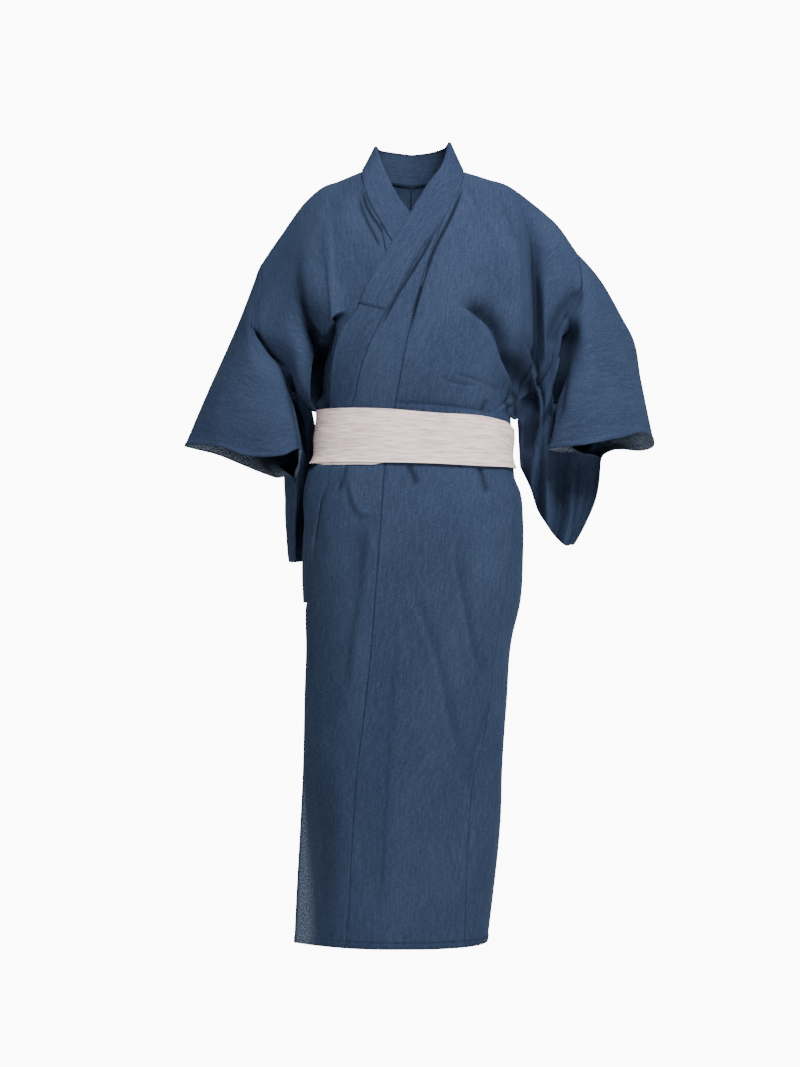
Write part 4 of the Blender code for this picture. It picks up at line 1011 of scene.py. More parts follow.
def shell(name, nodes, points, normals, uv, wall=CLOTH, closed=False, slot="cotton",
          deep=0.0, thin=0.0):
    """A thin closed shell that stands for one solid or more. `deep` is painted shade on
    the floors of folds and in shaded places, with the dark lines of seams and edges, and
    `thin` marks the single plies where painted light stands for light coming through."""
    deep = deep + 0 * points[..., 0]
    thin = thin + 0 * points[..., 0]
    if closed:
        points, normals, deep, thin = (
            np.concatenate([grid, grid[:, :1]], axis=1) for grid in (points, normals, deep, thin))
    # Each face is four point numbers: first the outer side, then the inner side, whose points
    # follow all the outer ones, then the rim between them.
    rows, columns = points.shape[:2]
    count = rows * columns
    r, c = np.meshgrid(np.arange(rows - 1), np.arange(columns - 1), indexing="ij")
    a = (r * columns + c).ravel()
    outer = np.stack([a, a + 1, a + columns + 1, a + columns], -1)
    inner = outer[:, [0, 3, 2, 1]] + count
    low = np.arange(columns - 1)
    high = low + (rows - 1) * columns
    rim = [np.stack([low + 1, low, low + count, low + 1 + count], -1),
           np.stack([high, high + 1, high + 1 + count, high + count], -1)]
    if not closed:
        near = np.arange(rows - 1) * columns
        far = near + columns - 1
        rim += [np.stack([near, near + columns, near + columns + count, near + count], -1),
                np.stack([far + columns, far, far + count, far + columns + count], -1)]
    faces = np.concatenate([outer, inner] + rim)
    # If the grid runs the other way round, its faces are turned to look outwards.
    across = points[rows // 2, 1] - points[rows // 2, 0]
    along = points[rows // 2 + 1, 0] - points[rows // 2, 0]
    if np.dot(np.cross(across, along), normals[rows // 2, 0]) < 0:
        faces = faces[:, [0, 3, 2, 1]]
    co = np.concatenate([points.reshape(-1, 3), (points - normals * wall).reshape(-1, 3)]) * MM
    uvs = np.tile(uv.reshape(-1, 2), (2, 1))
    mesh = bpy.data.meshes.new(name)
    mesh.from_pydata(co.tolist(), [], faces.tolist())
    layer = mesh.uv_layers.new(name="weave")
    corner = np.empty(len(mesh.loops), np.int32)
    mesh.loops.foreach_get("vertex_index", corner)
    layer.data.foreach_set("uv", uvs[corner].astype(np.float32).ravel())
    # In a tube the light that comes through shows on the inside alone.
    outer_thin = thin * 0 if closed else thin
    for mark, outside, inside in (("deep", deep, deep), ("thin", outer_thin, thin)):
        both = np.concatenate([outside.ravel(), inside.ravel()]).astype(np.float32)
        mesh.attributes.new(mark, "FLOAT", "POINT").data.foreach_set("value", both)
    if closed:
        weld(mesh)
    mesh.shade_smooth()
    mesh.set_sharp_from_angle(angle=SHARP)
    piece = linked(name, mesh)
    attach(piece, "root")
    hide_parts(*nodes.split())
    mesh.materials.append(MATERIALS[slot])
    return piece


print("shell maker ready")

# %% [markdown]
# ## Materials
# The robe is indigo cotton with a fine, irregular pale pinstripe along the warp and a
# crinkle; the sash is pale, stiff and ribbed, with slubs along it. A scan of the cloth
# could be tiled over it, but it would repeat and blur. Noise that is stretched far along the
# thread gives broken stripes that never repeat. The same stretched noise serves both
# cloths, so it is one node group, placed with its own values wherever it is used.

# %% Helpers for node trees
def add_node(tree, kind, values=(), **settings):
    """A new node, laid out in rows; values go to its named inputs."""
    count = len(tree.nodes)
    node = tree.nodes.new(kind)
    node.location = (220 * (count % 8), -260 * (count // 8))
    for key, setting in settings.items():
        setattr(node, key, setting)
    for label, value in dict(values).items():
        node.inputs[label].default_value = value
    return node


def feed(tree, socket, value):
    """Links another node's output to a socket, or sets a plain number or colour there."""
    if isinstance(value, tuple):
        socket.default_value = (*value, 1)
    elif isinstance(value, (int, float)):
        socket.default_value = value
    else:
        tree.links.new(value, socket)


def mixed(tree, factor, a, b):
    node = add_node(tree, "ShaderNodeMix", data_type="RGBA")
    for label, value in (("Factor", factor), ("A", a), ("B", b)):
        feed(tree, node.inputs[label], value)
    return node.outputs["Result"]


def maths(tree, kind, a, b):
    node = add_node(tree, "ShaderNodeMath", operation=kind)
    feed(tree, node.inputs[0], a)
    feed(tree, node.inputs[1], b)
    return node.outputs[0]


def mark_on_cloth(tree, name):
    return add_node(tree, "ShaderNodeAttribute", attribute_name=name).outputs["Fac"]


def new_material(name, values):
    """A material with its Principled shader's own values set."""
    material = bpy.data.materials.new(name)
    material.use_nodes = True
    shader = material.node_tree.nodes["Principled BSDF"]
    for label, value in values.items():
        shader.inputs[label].default_value = value
    return material, material.node_tree, shader


def add_bump(tree, shader, height, distance, strength):
    bump = add_node(tree, "ShaderNodeBump", {"Distance": distance, "Strength": strength})
    tree.links.new(height, bump.inputs["Height"])
    tree.links.new(bump.outputs["Normal"], shader.inputs["Normal"])


print("node helpers ready")

# %% The thread noise, shared by both cloths
THREAD_INPUTS = ("Across", "Along", "Octaves", "Roughness", "Low", "High")


def thread_group():
    """Noise stretched on the cloth's UV, plain and drawn out between two levels."""
    tree = bpy.data.node_groups.new("thread noise", "ShaderNodeTree")
    tree.interface.new_socket("UV", in_out="INPUT", socket_type="NodeSocketVector")
    for label in THREAD_INPUTS:
        tree.interface.new_socket(label, in_out="INPUT", socket_type="NodeSocketFloat")
    for label in ("Noise", "Threads"):
        tree.interface.new_socket(label, in_out="OUTPUT", socket_type="NodeSocketFloat")
    start = add_node(tree, "NodeGroupInput")
    stretch = add_node(tree, "ShaderNodeCombineXYZ", {"Z": 1})
    place = add_node(tree, "ShaderNodeMapping")
    cloud = add_node(tree, "ShaderNodeTexNoise", {"Scale": 1}, noise_dimensions="2D")
    drawn = add_node(tree, "ShaderNodeMapRange", interpolation_type="SMOOTHSTEP")
    end = add_node(tree, "NodeGroupOutput")
    for source, target in (
            (start.outputs["Across"], stretch.inputs["X"]),
            (start.outputs["Along"], stretch.inputs["Y"]),
            (start.outputs["UV"], place.inputs["Vector"]),
            (stretch.outputs["Vector"], place.inputs["Scale"]),
            (place.outputs["Vector"], cloud.inputs["Vector"]),
            (start.outputs["Octaves"], cloud.inputs["Detail"]),
            (start.outputs["Roughness"], cloud.inputs["Roughness"]),
            (cloud.outputs["Fac"], drawn.inputs["Value"]),
            (start.outputs["Low"], drawn.inputs["From Min"]),
            (start.outputs["High"], drawn.inputs["From Max"]),
            (cloud.outputs["Fac"], end.inputs["Noise"]),
            (drawn.outputs["Result"], end.inputs["Threads"])):
        tree.links.new(source, target)
    return tree


def threads(tree, uv, *values):
    """The group in a material, with one value for each of THREAD_INPUTS."""
    node = add_node(tree, "ShaderNodeGroup", node_tree=THREAD_NOISE)
    for label, value in zip(THREAD_INPUTS, values):
        node.inputs[label].default_value = value
    tree.links.new(uv, node.inputs["UV"])
    return node


THREAD_NOISE = thread_group()
print("thread noise", len(THREAD_NOISE.nodes), "nodes")

# %% Indigo cotton
COTTON_DARK = (0.0165, 0.0272, 0.0575)
COTTON_PALE = (0.0465, 0.0675, 0.1215)
# Painted shade for fold floors and shaded places, also the dark of seam and edge lines.
COTTON_SHADE_AND_SEAMS = (0.003, 0.005, 0.010)
COTTON_LIT = (0.30, 0.36, 0.43)     # where light comes through a single ply
FOLD_SHADE = 0.8        # how far the floor of a fold goes to its own colour
# how far the deep mark takes the colour to that dark: painted shade and seam lines
COTTON_LAYERS = (
    # stretch across and along the warp, octaves, low and high level, weight
    (300, 26, 1.0, 0.40, 0.64, 0.15),
    (620, 60, 1.0, 0.36, 0.68, 0.16),
    (120, 560, 1.0, 0.45, 0.62, 0.19),
    (700, 640, 2.0, 0.30, 0.72, 0.14),
    (520, 210, 1.0, 0.70, 0.84, 0.22),
    (9, 5, 3.0, 0.25, 0.75, 0.20),
)
COTTON_ROUGH = 0.55     # the noise's own roughness, the same in all layers
COTTON_FINISH = {
    "Roughness": 0.88, "Specular IOR Level": 0.06, "Sheen Weight": 0.05,
    "Sheen Tint": (0.35, 0.55, 1.0, 1), "Sheen Roughness": 0.5}


def cotton():
    """Crinkled cotton: fine broken pale threads along the warp, short crinkle across them."""
    material, tree, shader = new_material("cotton", COTTON_FINISH)
    uv = add_node(tree, "ShaderNodeUVMap", uv_map="weave").outputs["UV"]
    blend = 0.0
    found = []
    for across, along, octaves, low, high, weight in COTTON_LAYERS:
        layer = threads(tree, uv, across, along, octaves, COTTON_ROUGH, low, high)
        found.append(layer.outputs["Noise"])
        blend = maths(tree, "ADD", maths(tree, "MULTIPLY", layer.outputs["Threads"], weight), blend)
    colour = mixed(tree, blend, COTTON_DARK, COTTON_PALE)
    # Painted shade: the deep mark darkens fold floors, shaded places and seam lines towards near-black.
    shade = maths(tree, "MULTIPLY", mark_on_cloth(tree, "deep"), FOLD_SHADE)
    colour = mixed(tree, shade, colour, COTTON_SHADE_AND_SEAMS)
    # Painted light: where a single ply stands clear, its open weave is painted paler as if lit from
    # behind.
    net = threads(tree, uv, 420, 380, 2.0, 0.7, 0.38, 0.66).outputs["Threads"]
    lit_through_weave = maths(tree, "MULTIPLY", net, mark_on_cloth(tree, "thin"))
    colour = mixed(tree, lit_through_weave, colour, COTTON_LIT)
    tree.links.new(colour, shader.inputs["Base Color"])
    stripe = maths(tree, "MULTIPLY", found[0], 0.7)
    crinkle = maths(tree, "MULTIPLY", found[2], 0.8)
    add_bump(tree, shader, maths(tree, "ADD", stripe, crinkle), 0.0005, 0.45)
    return material


MATERIALS = {"cotton": cotton()}
print("cotton layers", len(COTTON_LAYERS))

# %% The sash's cloth
SASH_DARK = (0.58, 0.39, 0.36)
SASH_PALE = (1.0, 0.86, 0.83)
SASH_FINISH = {"Roughness": 0.7, "Specular IOR Level": 0.25, "Sheen Weight": 0.1}


def sash():
    """A stiff ribbed sash with slubs along its length."""
    material, tree, shader = new_material("sash", SASH_FINISH)
    uv = add_node(tree, "ShaderNodeUVMap", uv_map="weave").outputs["UV"]
    band = threads(tree, uv, 330, 14, 2.0, 0.5, 0.30, 0.66).outputs["Threads"]
    slub = threads(tree, uv, 620, 34, 2.0, 0.6, 0.34, 0.62)
    rib = threads(tree, uv, 1300, 420, 1.0, 0.5, 0.0, 1.0).outputs["Noise"]
    shade = maths(tree, "ADD", maths(tree, "MULTIPLY", band, 0.5),
                  maths(tree, "MULTIPLY", slub.outputs["Threads"], 0.5))
    tree.links.new(mixed(tree, shade, SASH_DARK, SASH_PALE), shader.inputs["Base Color"])
    height = maths(tree, "ADD", slub.outputs["Noise"], maths(tree, "MULTIPLY", rib, 0.6))
    add_bump(tree, shader, height, 0.0006, 0.4)
    return material


MATERIALS["sash"] = sash()
print("materials", list(MATERIALS))

# %% [markdown]
# ## Seams and hems
# Along a seam two pieces of cloth are drawn in to a narrow dip, and a hem is cloth turned up
# into a flat band with a step at its edge. Both could be drawn in the material, but a line
# of colour doesn't catch the light. So they are relief in the mesh, with extra rows of
# points close to them, and the material only darkens the line.

# %% Rows of points
# How many rows each part has between two of its levels.
PER_LEVEL = {
    "front": 13, "back": 6, "front skirt": 7, "back skirt": 4, "overlap": 11, "neck": 8,
    "collar skirt": 5, "sleeve": 34, "knot": 8}
print("rows between levels", PER_LEVEL)

# %% Seams
TURN_IN = 4.0           # cloth that runs on into the collar
GROOVE = (1.8, 1.3)     # depth and reach of the dip along a seam
GROOVE_DARK = 0.4       # how much darker the line of a seam is
EDGE_COLUMNS = np.array([0.7, 1.5, 2.4, 3.8])   # extra columns this far from a piece's edges
LEAST_STEP = 0.3        # and no two columns closer than this


def near_edges(knots, counts):
    """Columns for a piece, with extra ones close to its two edges for the seam's dip."""
    values = steps(np.asarray(knots, float), counts)
    values = np.sort(np.concatenate([values, values[0] + EDGE_COLUMNS, values[-1] - EDGE_COLUMNS]))
    return values[np.concatenate([[True], np.diff(values) > LEAST_STEP])]


def groove(distance):
    """How far a seam draws the cloth in, and how dark its line is."""
    near = fade(distance, GROOVE[1])
    return -GROOVE[0] * near, GROOVE_DARK * near


print("columns from 0 to 20:", near_edges((0, 20), (2,)))

# %% Hems
HEM_BAND = 11.0         # turned-up hem
HEM_UP = 1.2            # its extra thickness
HEM_DROP = 1.2          # how much the bottom edge is rounded off
EDGE_REACH = 1.4        # and over what distance
LINE_REACH = 1.8        # reach of the dark line along an open edge
EDGE_DARK = 0.7         # how dark that line is
BAND_DARK = (0.55, 0.4)     # and the band's inner edge, at the hem and down the overlap


def turned_edge(distance, band, drop):
    """A turned band's height above the cloth, rounded at the edge itself."""
    return HEM_UP * smooth(band + 0.9, band - 0.2, distance) - drop * fade(distance, EDGE_REACH)


def hem_rows(side, per):
    """Heights of the skirt's rows, with the turned-up hem's own edge among them."""
    band = HEM_Z + np.array([2.0, HEM_BAND - 1.0, HEM_BAND, HEM_BAND + 1.2])
    return np.sort(np.concatenate([finer(side.rows, per), band]))


def hem_line(z):
    """How dark the hem's two edges are."""
    above = z - HEM_Z
    top = BAND_DARK[0] * fade(above - HEM_BAND - 0.8, EDGE_REACH)
    return np.maximum(top, EDGE_DARK * fade(above, LINE_REACH))


print("rows of the skirt:", len(hem_rows(LEFT, PER_LEVEL["front skirt"])))

# %% Lines for the sewing
STITCHED = {}           # for each piece, the lines along which it's sewn by hand
STITCH_UP = 0.15        # how far above the cloth they lie


def mark_stitches(piece_name, points, normals):
    """Keeps a line of points just above the cloth, for the sewing that runs along it."""
    STITCHED.setdefault(piece_name, []).append(points + normals * STITCH_UP)


def hem_row(heights):
    """The row that lies just under the hem's upper edge."""
    return int(np.argmin(np.abs(heights - HEM_Z - HEM_BAND + 1)))


print("the sewing lies", STITCH_UP, "mm above the cloth")

# %% [markdown]
# ## The trunk's cloth
# Each side of the trunk is one strip from the front hem over the shoulder to the back hem.
# It could be made as front, top and back and sewn at the sash, but a joint would show as a
# line where the real cloth runs on. So the three surfaces give one grid of rows.

# %% Body pieces
CREST_SHIFT = 7.0       # how far the deep fold's crest hangs over it
CREST, FOLD = 2, 3      # which of the lines across the body the crest and the fold are,
CREST_REACH, FOLD_REACH = 12, 11    # and how far to both sides of them the cloth is changed
BODY_COLUMNS = (42, 30, 12, 13, 14)     # columns between each line and the next


def fold_line(side, u, line, width):
    """1 along one of the body's named lines, falling away over a width."""
    return fade(u[None] - side.u[line], width)


def hung(side, level):
    """1 on the front from under the shoulder to the waist."""
    top = smooth(side.v[side.shoulder - 1], side.v[side.shoulder - 4], level)
    return top * smooth(side.v[1], side.v[2], level)


def body_shell(name, side):
    """One body width, from the front hem over the shoulder to the back hem."""
    u = near_edges(side.u, BODY_COLUMNS)
    front_v = finer(side.v[1:side.shoulder + 1], PER_LEVEL["front"])[1:-1]
    v = np.concatenate([front_v, finer(side.v[side.shoulder:-1], PER_LEVEL["back"])[:-1]])
    rows = hem_rows(side, PER_LEVEL["front skirt"])
    back_rows = hem_rows(side, PER_LEVEL["back skirt"])
    skirt = patch(skirt_part(side, False), u, rows, AXIS)
    net = patch(side.body, u, v, AXIS)
    net[1][:, -1] = side.sleeve.shared_normals(v)
    behind = patch(skirt_part(side, True), u, back_rows[::-1], AXIS)
    points, normals = joined(skirt, net, behind)
    start = int(np.searchsorted(u, side.u[1]))
    across = arc(points, 1, start) * -side.sign
    along = arc(points, 0, 0)[:, start:start + 1] + 0 * across
    table = OUTER_ROWS if side.sign > 0 else INNER_ROWS
    moved, deep = creased(points, normals, table)
    level = np.concatenate([rows * 0, v, back_rows * 0])[:, None]
    # Painted shade down the deep fold beside the crest, from under the shoulder to the waist.
    deep = np.maximum(deep, fold_line(side, u, FOLD, FOLD_REACH) * hung(side, level))
    dip, line = groove(np.minimum(u - u[0], u[-1] - u)[None])
    moved += normals * (dip + turned_edge(points[..., 2] - HEM_Z, HEM_BAND, HEM_DROP))[..., None]
    crest = fold_line(side, u, CREST, CREST_REACH)
    moved[..., 0] -= side.sign * CREST_SHIFT * crest * hung(side, level)
    # Down the middle of the back the strips run further past their seam, so no slit shows.
    first_back_row = len(rows) + len(v)
    row = np.arange(len(level))[:, None]
    behind_rows = (level > side.v[side.nape]) | (row >= first_back_row)
    moved = inset(moved, left=np.where(behind_rows, BACK_SEAM, SEAM), right=SEAM)
    # Round the neck the strip runs on into the collar.
    neck = (level > side.v[side.tip]) & (level <= side.v[side.nape] + 0.1)
    around = side.collar_top(np.array([0.0, 1.0]), np.minimum(level[:, 0], side.v[side.nape]))
    moved[:, 0] += unit(around[:, 0] - around[:, 1]) * TURN_IN * neck
    line = np.maximum(line, hem_line(points[..., 2]))
    for row in (hem_row(rows), first_back_row + hem_row(back_rows[::-1])):
        mark_stitches(name, moved[row], normals[row])
    nodes = f"body_{name[5:]} skirt_front_{name[5:]} skirt_back_{name[5:]}"
    return shell(name, nodes, moved, normals, np.stack([across, along], -1),
                 deep=np.maximum(deep, line))


left_body = body_shell("body_left", LEFT)
right_body = body_shell("body_right", RIGHT)
print("body shells", len(left_body.data.polygons), len(right_body.data.polygons))

# %% [markdown]
# ## The overlap panels
# A narrow panel widens each front, from a point under the collar down to the hem. Its outer
# edge hangs open below the collar, turned once and sewn. Down there it stands clear of the
# cloth behind, so light comes through the one ply. Real translucence could do that, but it
# is slow and noisy: a mark on the points tells the material where the weave looks lit.

# %% Overlap panels
OVERLAP_ACROSS = 130.0  # about how wide the panel is
OVERLAP_END = 0.97      # how far up the last stretch to its tip the panel runs
FREE_BAND = 7.0         # turned edge down the open side of the overlap
THIN_STRIP = 58.0       # at the hem, how far in the overlap stands clear of the cloth behind
THIN_TOP = -1010.0      # where it begins to, and where the light through it is full
THIN_FULL = -1120.0
THIN_MOST = 0.45        # how much of the light comes through


def overlap_shell(name, side):
    """One overlap panel, from the hem up to its point under the collar."""
    u = near_edges((0, OVERLAP_ACROSS), (30,)) / OVERLAP_ACROSS
    end = side.v[side.tip - 1] * (1 - OVERLAP_END) + side.v[side.tip] * OVERLAP_END
    v = np.append(finer(side.v[1:side.tip], PER_LEVEL["overlap"])[1:], end)
    rows = hem_rows(side, PER_LEVEL["front skirt"])
    low = patch(overlap_skirt(side), u, rows, AXIS, step=1e-3)
    top = patch(side.overlap_top, u, v, AXIS, step=1e-3)
    points, normals = joined(low, top)
    z = points[..., 2]
    across = arc(points, 1, len(u) - 1) * side.sign
    along = arc(points, 0, 0)[:, -1:] + 0 * across
    moved, deep = creased(points, normals, OUTER_ROWS if side.sign > 0 else INNER_ROWS)
    edge = np.abs(across - across[:, -1:]) / MM
    free = np.abs(across - across[:, :1]) / MM
    open_edge = smooth(COLLAR_END_Z, COLLAR_END_Z - 30, z)
    band = HEM_UP * smooth(FREE_BAND + 0.8, FREE_BAND - 0.4, free) * open_edge
    dip, line = groove(np.minimum(edge, np.where(open_edge > 0, 99, free)))
    moved += normals * (dip + turned_edge(z - HEM_Z, HEM_BAND, HEM_DROP) + band)[..., None]
    under = np.where(z[:, :1] > COLLAR_END_Z, -TURN_IN, SEAM)
    reach = FREE_BAND + 2 + (THIN_STRIP - FREE_BAND) * smooth(THIN_TOP, HEM_Z, z)
    thin = smooth(reach, reach * 0.4, free) * smooth(FREE_BAND - 2, FREE_BAND, free)
    thin = thin * smooth(THIN_TOP, THIN_FULL, z)
    line = np.maximum(line, hem_line(z))
    line = np.maximum(line, open_edge * EDGE_DARK * fade(free, LINE_REACH))
    line = np.maximum(line, open_edge * BAND_DARK[1] * fade(free - FREE_BAND - 0.5, 1.3))
    row = hem_row(rows)
    mark_stitches(name, moved[row], normals[row])
    column_at = int(np.argmin(np.abs(u * OVERLAP_ACROSS - FREE_BAND + 1)))
    open_rows = points[:, 0, 2] < COLLAR_END_Z
    mark_stitches(name, moved[open_rows, column_at], normals[open_rows, column_at])
    nodes = name + " " + name.replace("overlap", "overlap_skirt")
    return shell(name, nodes, inset(moved, left=under, right=SEAM), normals,
                 np.stack([across, along], -1), deep=np.maximum(deep, line),
                 thin=THIN_MOST * thin * (side.sign > 0))


left_overlap = overlap_shell("overlap_left", LEFT)
right_overlap = overlap_shell("overlap_right", RIGHT)
print("overlap shells", len(left_overlap.data.polygons))

# %% [markdown]
# ## Collar and over-collar
# The collar is one long band, folded lengthwise over the raw edges of body and overlap. A
# shorter band, the over-collar, is folded over its upper part, where it wears. A band could
# be swept along a curve, but it would twist round the neck. Here its two edges are lines of
# the garment, the same that the body ends on, so collar and body can't part.

# %% Collar
COLLAR_UP = 1.1         # how far the folded collar stands above the cloth beside it
COLLAR_DROP = 1.1       # how much its two edges are rounded off, and over what distance
COLLAR_ROUND = 0.9


def neck_rows(side, first):
    return finer(side.v[first:side.nape + 1], PER_LEVEL["neck"])


def collar_half(side, across):
    """One side of the collar, from its end on the hip up to the middle of the nape."""
    heights = np.append(COLLAR_END_Z, side.rows[side.rows > COLLAR_END_Z + 10])
    low = finer(heights, PER_LEVEL["collar skirt"])
    return joined(
        patch(collar_skirt(side), across, low, AXIS, step=1e-3),
        patch(side.collar_top, across, neck_rows(side, 1)[1:], AXIS, step=1e-3))


def collar_shell():
    """The folded collar, down one side after it went up the other."""
    across = near_edges((0, COLLAR_WIDTH), (14,)) / COLLAR_WIDTH
    halves = [collar_half(side, across) for side in (LEFT, RIGHT)]
    points, normals = joined(halves[0], [part[-2::-1] for part in halves[1]])
    width = arc(points, 1, 0)
    middle = len(across) // 2
    uv = np.stack([width, arc(points, 0, 0)[:, middle:middle + 1] + 0 * width], -1)
    moved, _ = creased(points, normals, ())
    edge = np.minimum(across, 1 - across)[None] * COLLAR_WIDTH
    moved += normals * (COLLAR_UP - COLLAR_DROP * fade(edge, COLLAR_ROUND))[..., None]
    return shell("collar", "collar_left collar_right", inset(moved, right=SEAM), normals, uv,
                 COLLAR_WALL)


collar_piece = collar_shell()
print("collar shell", len(collar_piece.data.polygons))

# %% Over-collar
OVER_GAP = 0.5          # between the collar and the over-collar
OVER_LEVEL = 6          # the over-collar ends below this level of the front
OVER_PAST = 0.75        # how far below, as a share of the way to the next level
OVER_ACROSS = 0.95      # how much of the collar's width it covers
OVER_TURN = 12          # the column of points on the folded edge
OVER_LINE = 6           # the column along which its length is measured
END_LINE = 2.0          # reach of the dark line along the over-collar's folded ends
END_DARK = 0.6          # how dark it is


def over_rows(side):
    """Rows that go round the collar's neck edge, from inside to outside."""
    across = np.linspace(0, OVER_ACROSS, 11)
    past = side.v[OVER_LEVEL] + (side.v[OVER_LEVEL - 1] - side.v[OVER_LEVEL]) * OVER_PAST
    v = np.append(np.linspace(past, side.v[OVER_LEVEL], 7)[:-1], neck_rows(side, OVER_LEVEL))
    points, normals = patch(side.collar_top, across, v, AXIS, step=1e-3)
    edge = side.collar_top(np.array([0.0]), v)
    inward = unit(edge - side.collar_top(np.array([0.2]), v))
    clear = OVER_GAP + OVER_WALL
    facing = normals[:, :1]
    # Three columns of points go round the folded edge, as a small arc.
    turn = [edge - facing * (COLLAR_WALL + clear * 0.6) + inward * clear * 0.8,
            edge - facing * COLLAR_WALL / 2 + inward * clear * 1.15,
            edge + facing * clear * 0.6 + inward * clear * 0.8]
    turned = [unit(inward * 0.8 - facing * 0.6), inward, unit(inward * 0.8 + facing * 0.6)]
    points, edge = points + normals * COLLAR_UP, edge + facing * COLLAR_UP
    behind = (points - normals * (COLLAR_WALL + clear))[:, ::-1]
    return (np.concatenate([behind] + turn + [points + normals * clear], axis=1),
            np.concatenate([-normals[:, ::-1]] + turned + [normals], axis=1))


def over_collar_shell():
    """The over-collar, wrapped round the collar's fold from inside to outside."""
    halves = [over_rows(side) for side in (LEFT, RIGHT)]
    points, normals = joined(halves[0], [part[-2::-1] for part in halves[1]])
    across = arc(points, 1, OVER_TURN)
    along = arc(points, 0, 0)[:, OVER_LINE:OVER_LINE + 1]
    uv = np.stack([across, along + 0 * across], -1)
    along = along / MM
    end = fade(np.minimum(along, along[-1] - along), END_LINE)
    return shell("over_collar", "over_collar", points, normals, uv, OVER_WALL,
                 deep=END_DARK * end)


over_piece = over_collar_shell()
print("over-collar shell", len(over_piece.data.polygons))

# %% [markdown]
# ## The sleeves' cloth
# Each sleeve is one sheet sewn round into a flat tube, closed under the wrist's opening and
# turned at the cuff. Two flat sheets could be pressed together, but a tube has no open edge
# to mend. Its last column is joined to its first, and near the cuff the lower half is
# pinched shut where the real one is sewn.

# %% Sleeves
SLEEVE_LENGTH = 0.355   # along the tube, metres
# Columns between each of the sleeve's lines and the next.
SLEEVE_COLUMNS = (20, 20, 16, 18, 26, 14, 8, 8, 8, 8, 10, 10, 14, 14)
SEAM_STEPS = np.array([0.0022, 0.0045, 0.0075])     # extra rows close to armhole and cuff
SEWN_TURN = (0.345, 0.40)   # under the cuff's opening the two sheets are sewn together:
SEWN_REACH = (0.86, 1.0)    # how far round that starts, and how near the edge
SEWN_CLOSE = 0.93       # how nearly the two sheets meet there
SEWN_DARK = 0.4         # how dark the line where they meet is
SEWN_LINE = 3.0         # reach of the dark line that it makes
CUFF_BAND = 8.0         # turned edge of the sleeve's opening
THIN_CUFF = 60.0        # how far in from it the loose weave shows light
CUFF_DROP = 1.0         # how much the cuff's edge is rounded off
ARMHOLE_SHARE = 0.6     # how deep the dip is on the sleeve's side of the armhole


def tube_uv(along, points):
    """A tube's UV in metres: the given way along it, and the mean way round it."""
    girth = np.linalg.norm(np.diff(np.concatenate([points, points[:, :1]], axis=1), axis=1), axis=-1)
    round_it = np.concatenate([[0], np.cumsum(girth.mean(axis=0))]) * MM
    return np.stack(np.broadcast_arrays(along[:, None], round_it[None]), -1)


def sleeve_shell(name, sleeve):
    """One sleeve as a closed tube, with its cuff turned and its lower edge sewn shut."""
    columns = steps(np.array(SLEEVE_TURNS + (1.0,)), SLEEVE_COLUMNS)[:-1]
    s = np.sort(np.concatenate([finer(STATIONS, PER_LEVEL["sleeve"]), SEAM_STEPS, 1 - SEAM_STEPS]))
    points, normals = patch(sleeve.surface, columns, s, step=1e-4)
    shut = smooth(*SEWN_TURN, 0.5 - np.abs(columns - 0.5))[None]
    pinch = (shut * smooth(*SEWN_REACH, s)[:, None])[..., None]
    points += (sleeve.surface((1 - columns) % 1.0, s) - points) * 0.5 * SEWN_CLOSE * pinch
    v, on = sleeve.height_at(columns)
    normals[0] = np.where(on[:, None], sleeve.shared_normals(v), normals[0])
    uv = tube_uv(s * SLEEVE_LENGTH, points)
    rows = OUTER_ROWS if sleeve.side.sign > 0 else INNER_ROWS
    still = smooth(0.02, 0.0, s)[:, None] * ~on[None]
    moved, deep = creased(points, normals, rows, still)
    run = s[:, None] * SLEEVE_LENGTH / MM
    cuff = (1 - s[:, None]) * SLEEVE_LENGTH / MM
    dip, line = groove(run)
    band = turned_edge(cuff, CUFF_BAND, CUFF_DROP)
    moved += normals * (dip * on[None] * ARMHOLE_SHARE + band)[..., None]
    deep = np.maximum(deep, line * on[None] * ARMHOLE_SHARE)
    deep = np.maximum(deep, SEWN_DARK * shut * fade(cuff, SEWN_LINE))
    thin = smooth(THIN_CUFF, THIN_CUFF * 0.3, cuff) * (1 - shut)
    row = int(np.argmin(np.abs(cuff[:, 0] - CUFF_BAND + 1)))
    mark_stitches(name, np.concatenate([moved[row], moved[row, :1]]),
                  np.concatenate([normals[row], normals[row, :1]]))
    return shell(name, name, inset(moved, first=SEAM), normals, uv, closed=True, deep=deep,
                 thin=thin)


left_sleeve = sleeve_shell("sleeve_left", LEFT.sleeve)
right_sleeve = sleeve_shell("sleeve_right", RIGHT.sleeve)
print("sleeve shells", len(left_sleeve.data.polygons))

# %% [markdown]
# ## The sash
# A man's stiff sash goes round the waist a few times, here a little lower at the wearer's
# left, and is tied flat at the back. It could be one long spiral band, but its turns would lie
# in one another. Two closed turns at set distances show the same edges, the inner one
# peeping out at one side.

# %% Turns of the sash
GAP = 1.0               # between layers that lie on each other
SASH_WIDTH = 0.093      # metres
SASH_WALL = 0.8         # a turn's made wall, over the space that it takes
LIP = 4.0               # how far the inner turn shows below the outer one
LIP_RANGE = (-165, -140, -40, -60)  # x over which that begins and ends
# Height of the sash's edges across the front, lower at the wearer's left.
OBI_EDGES = (
    # x, top, bottom
    (-200, -415, -508),
    (-56, -416, -509),
    (31, -423, -511),
    (150, -434, -516),
    (164, -438, -516),
    (173, -446, -517),
    (182, -452, -517),
)


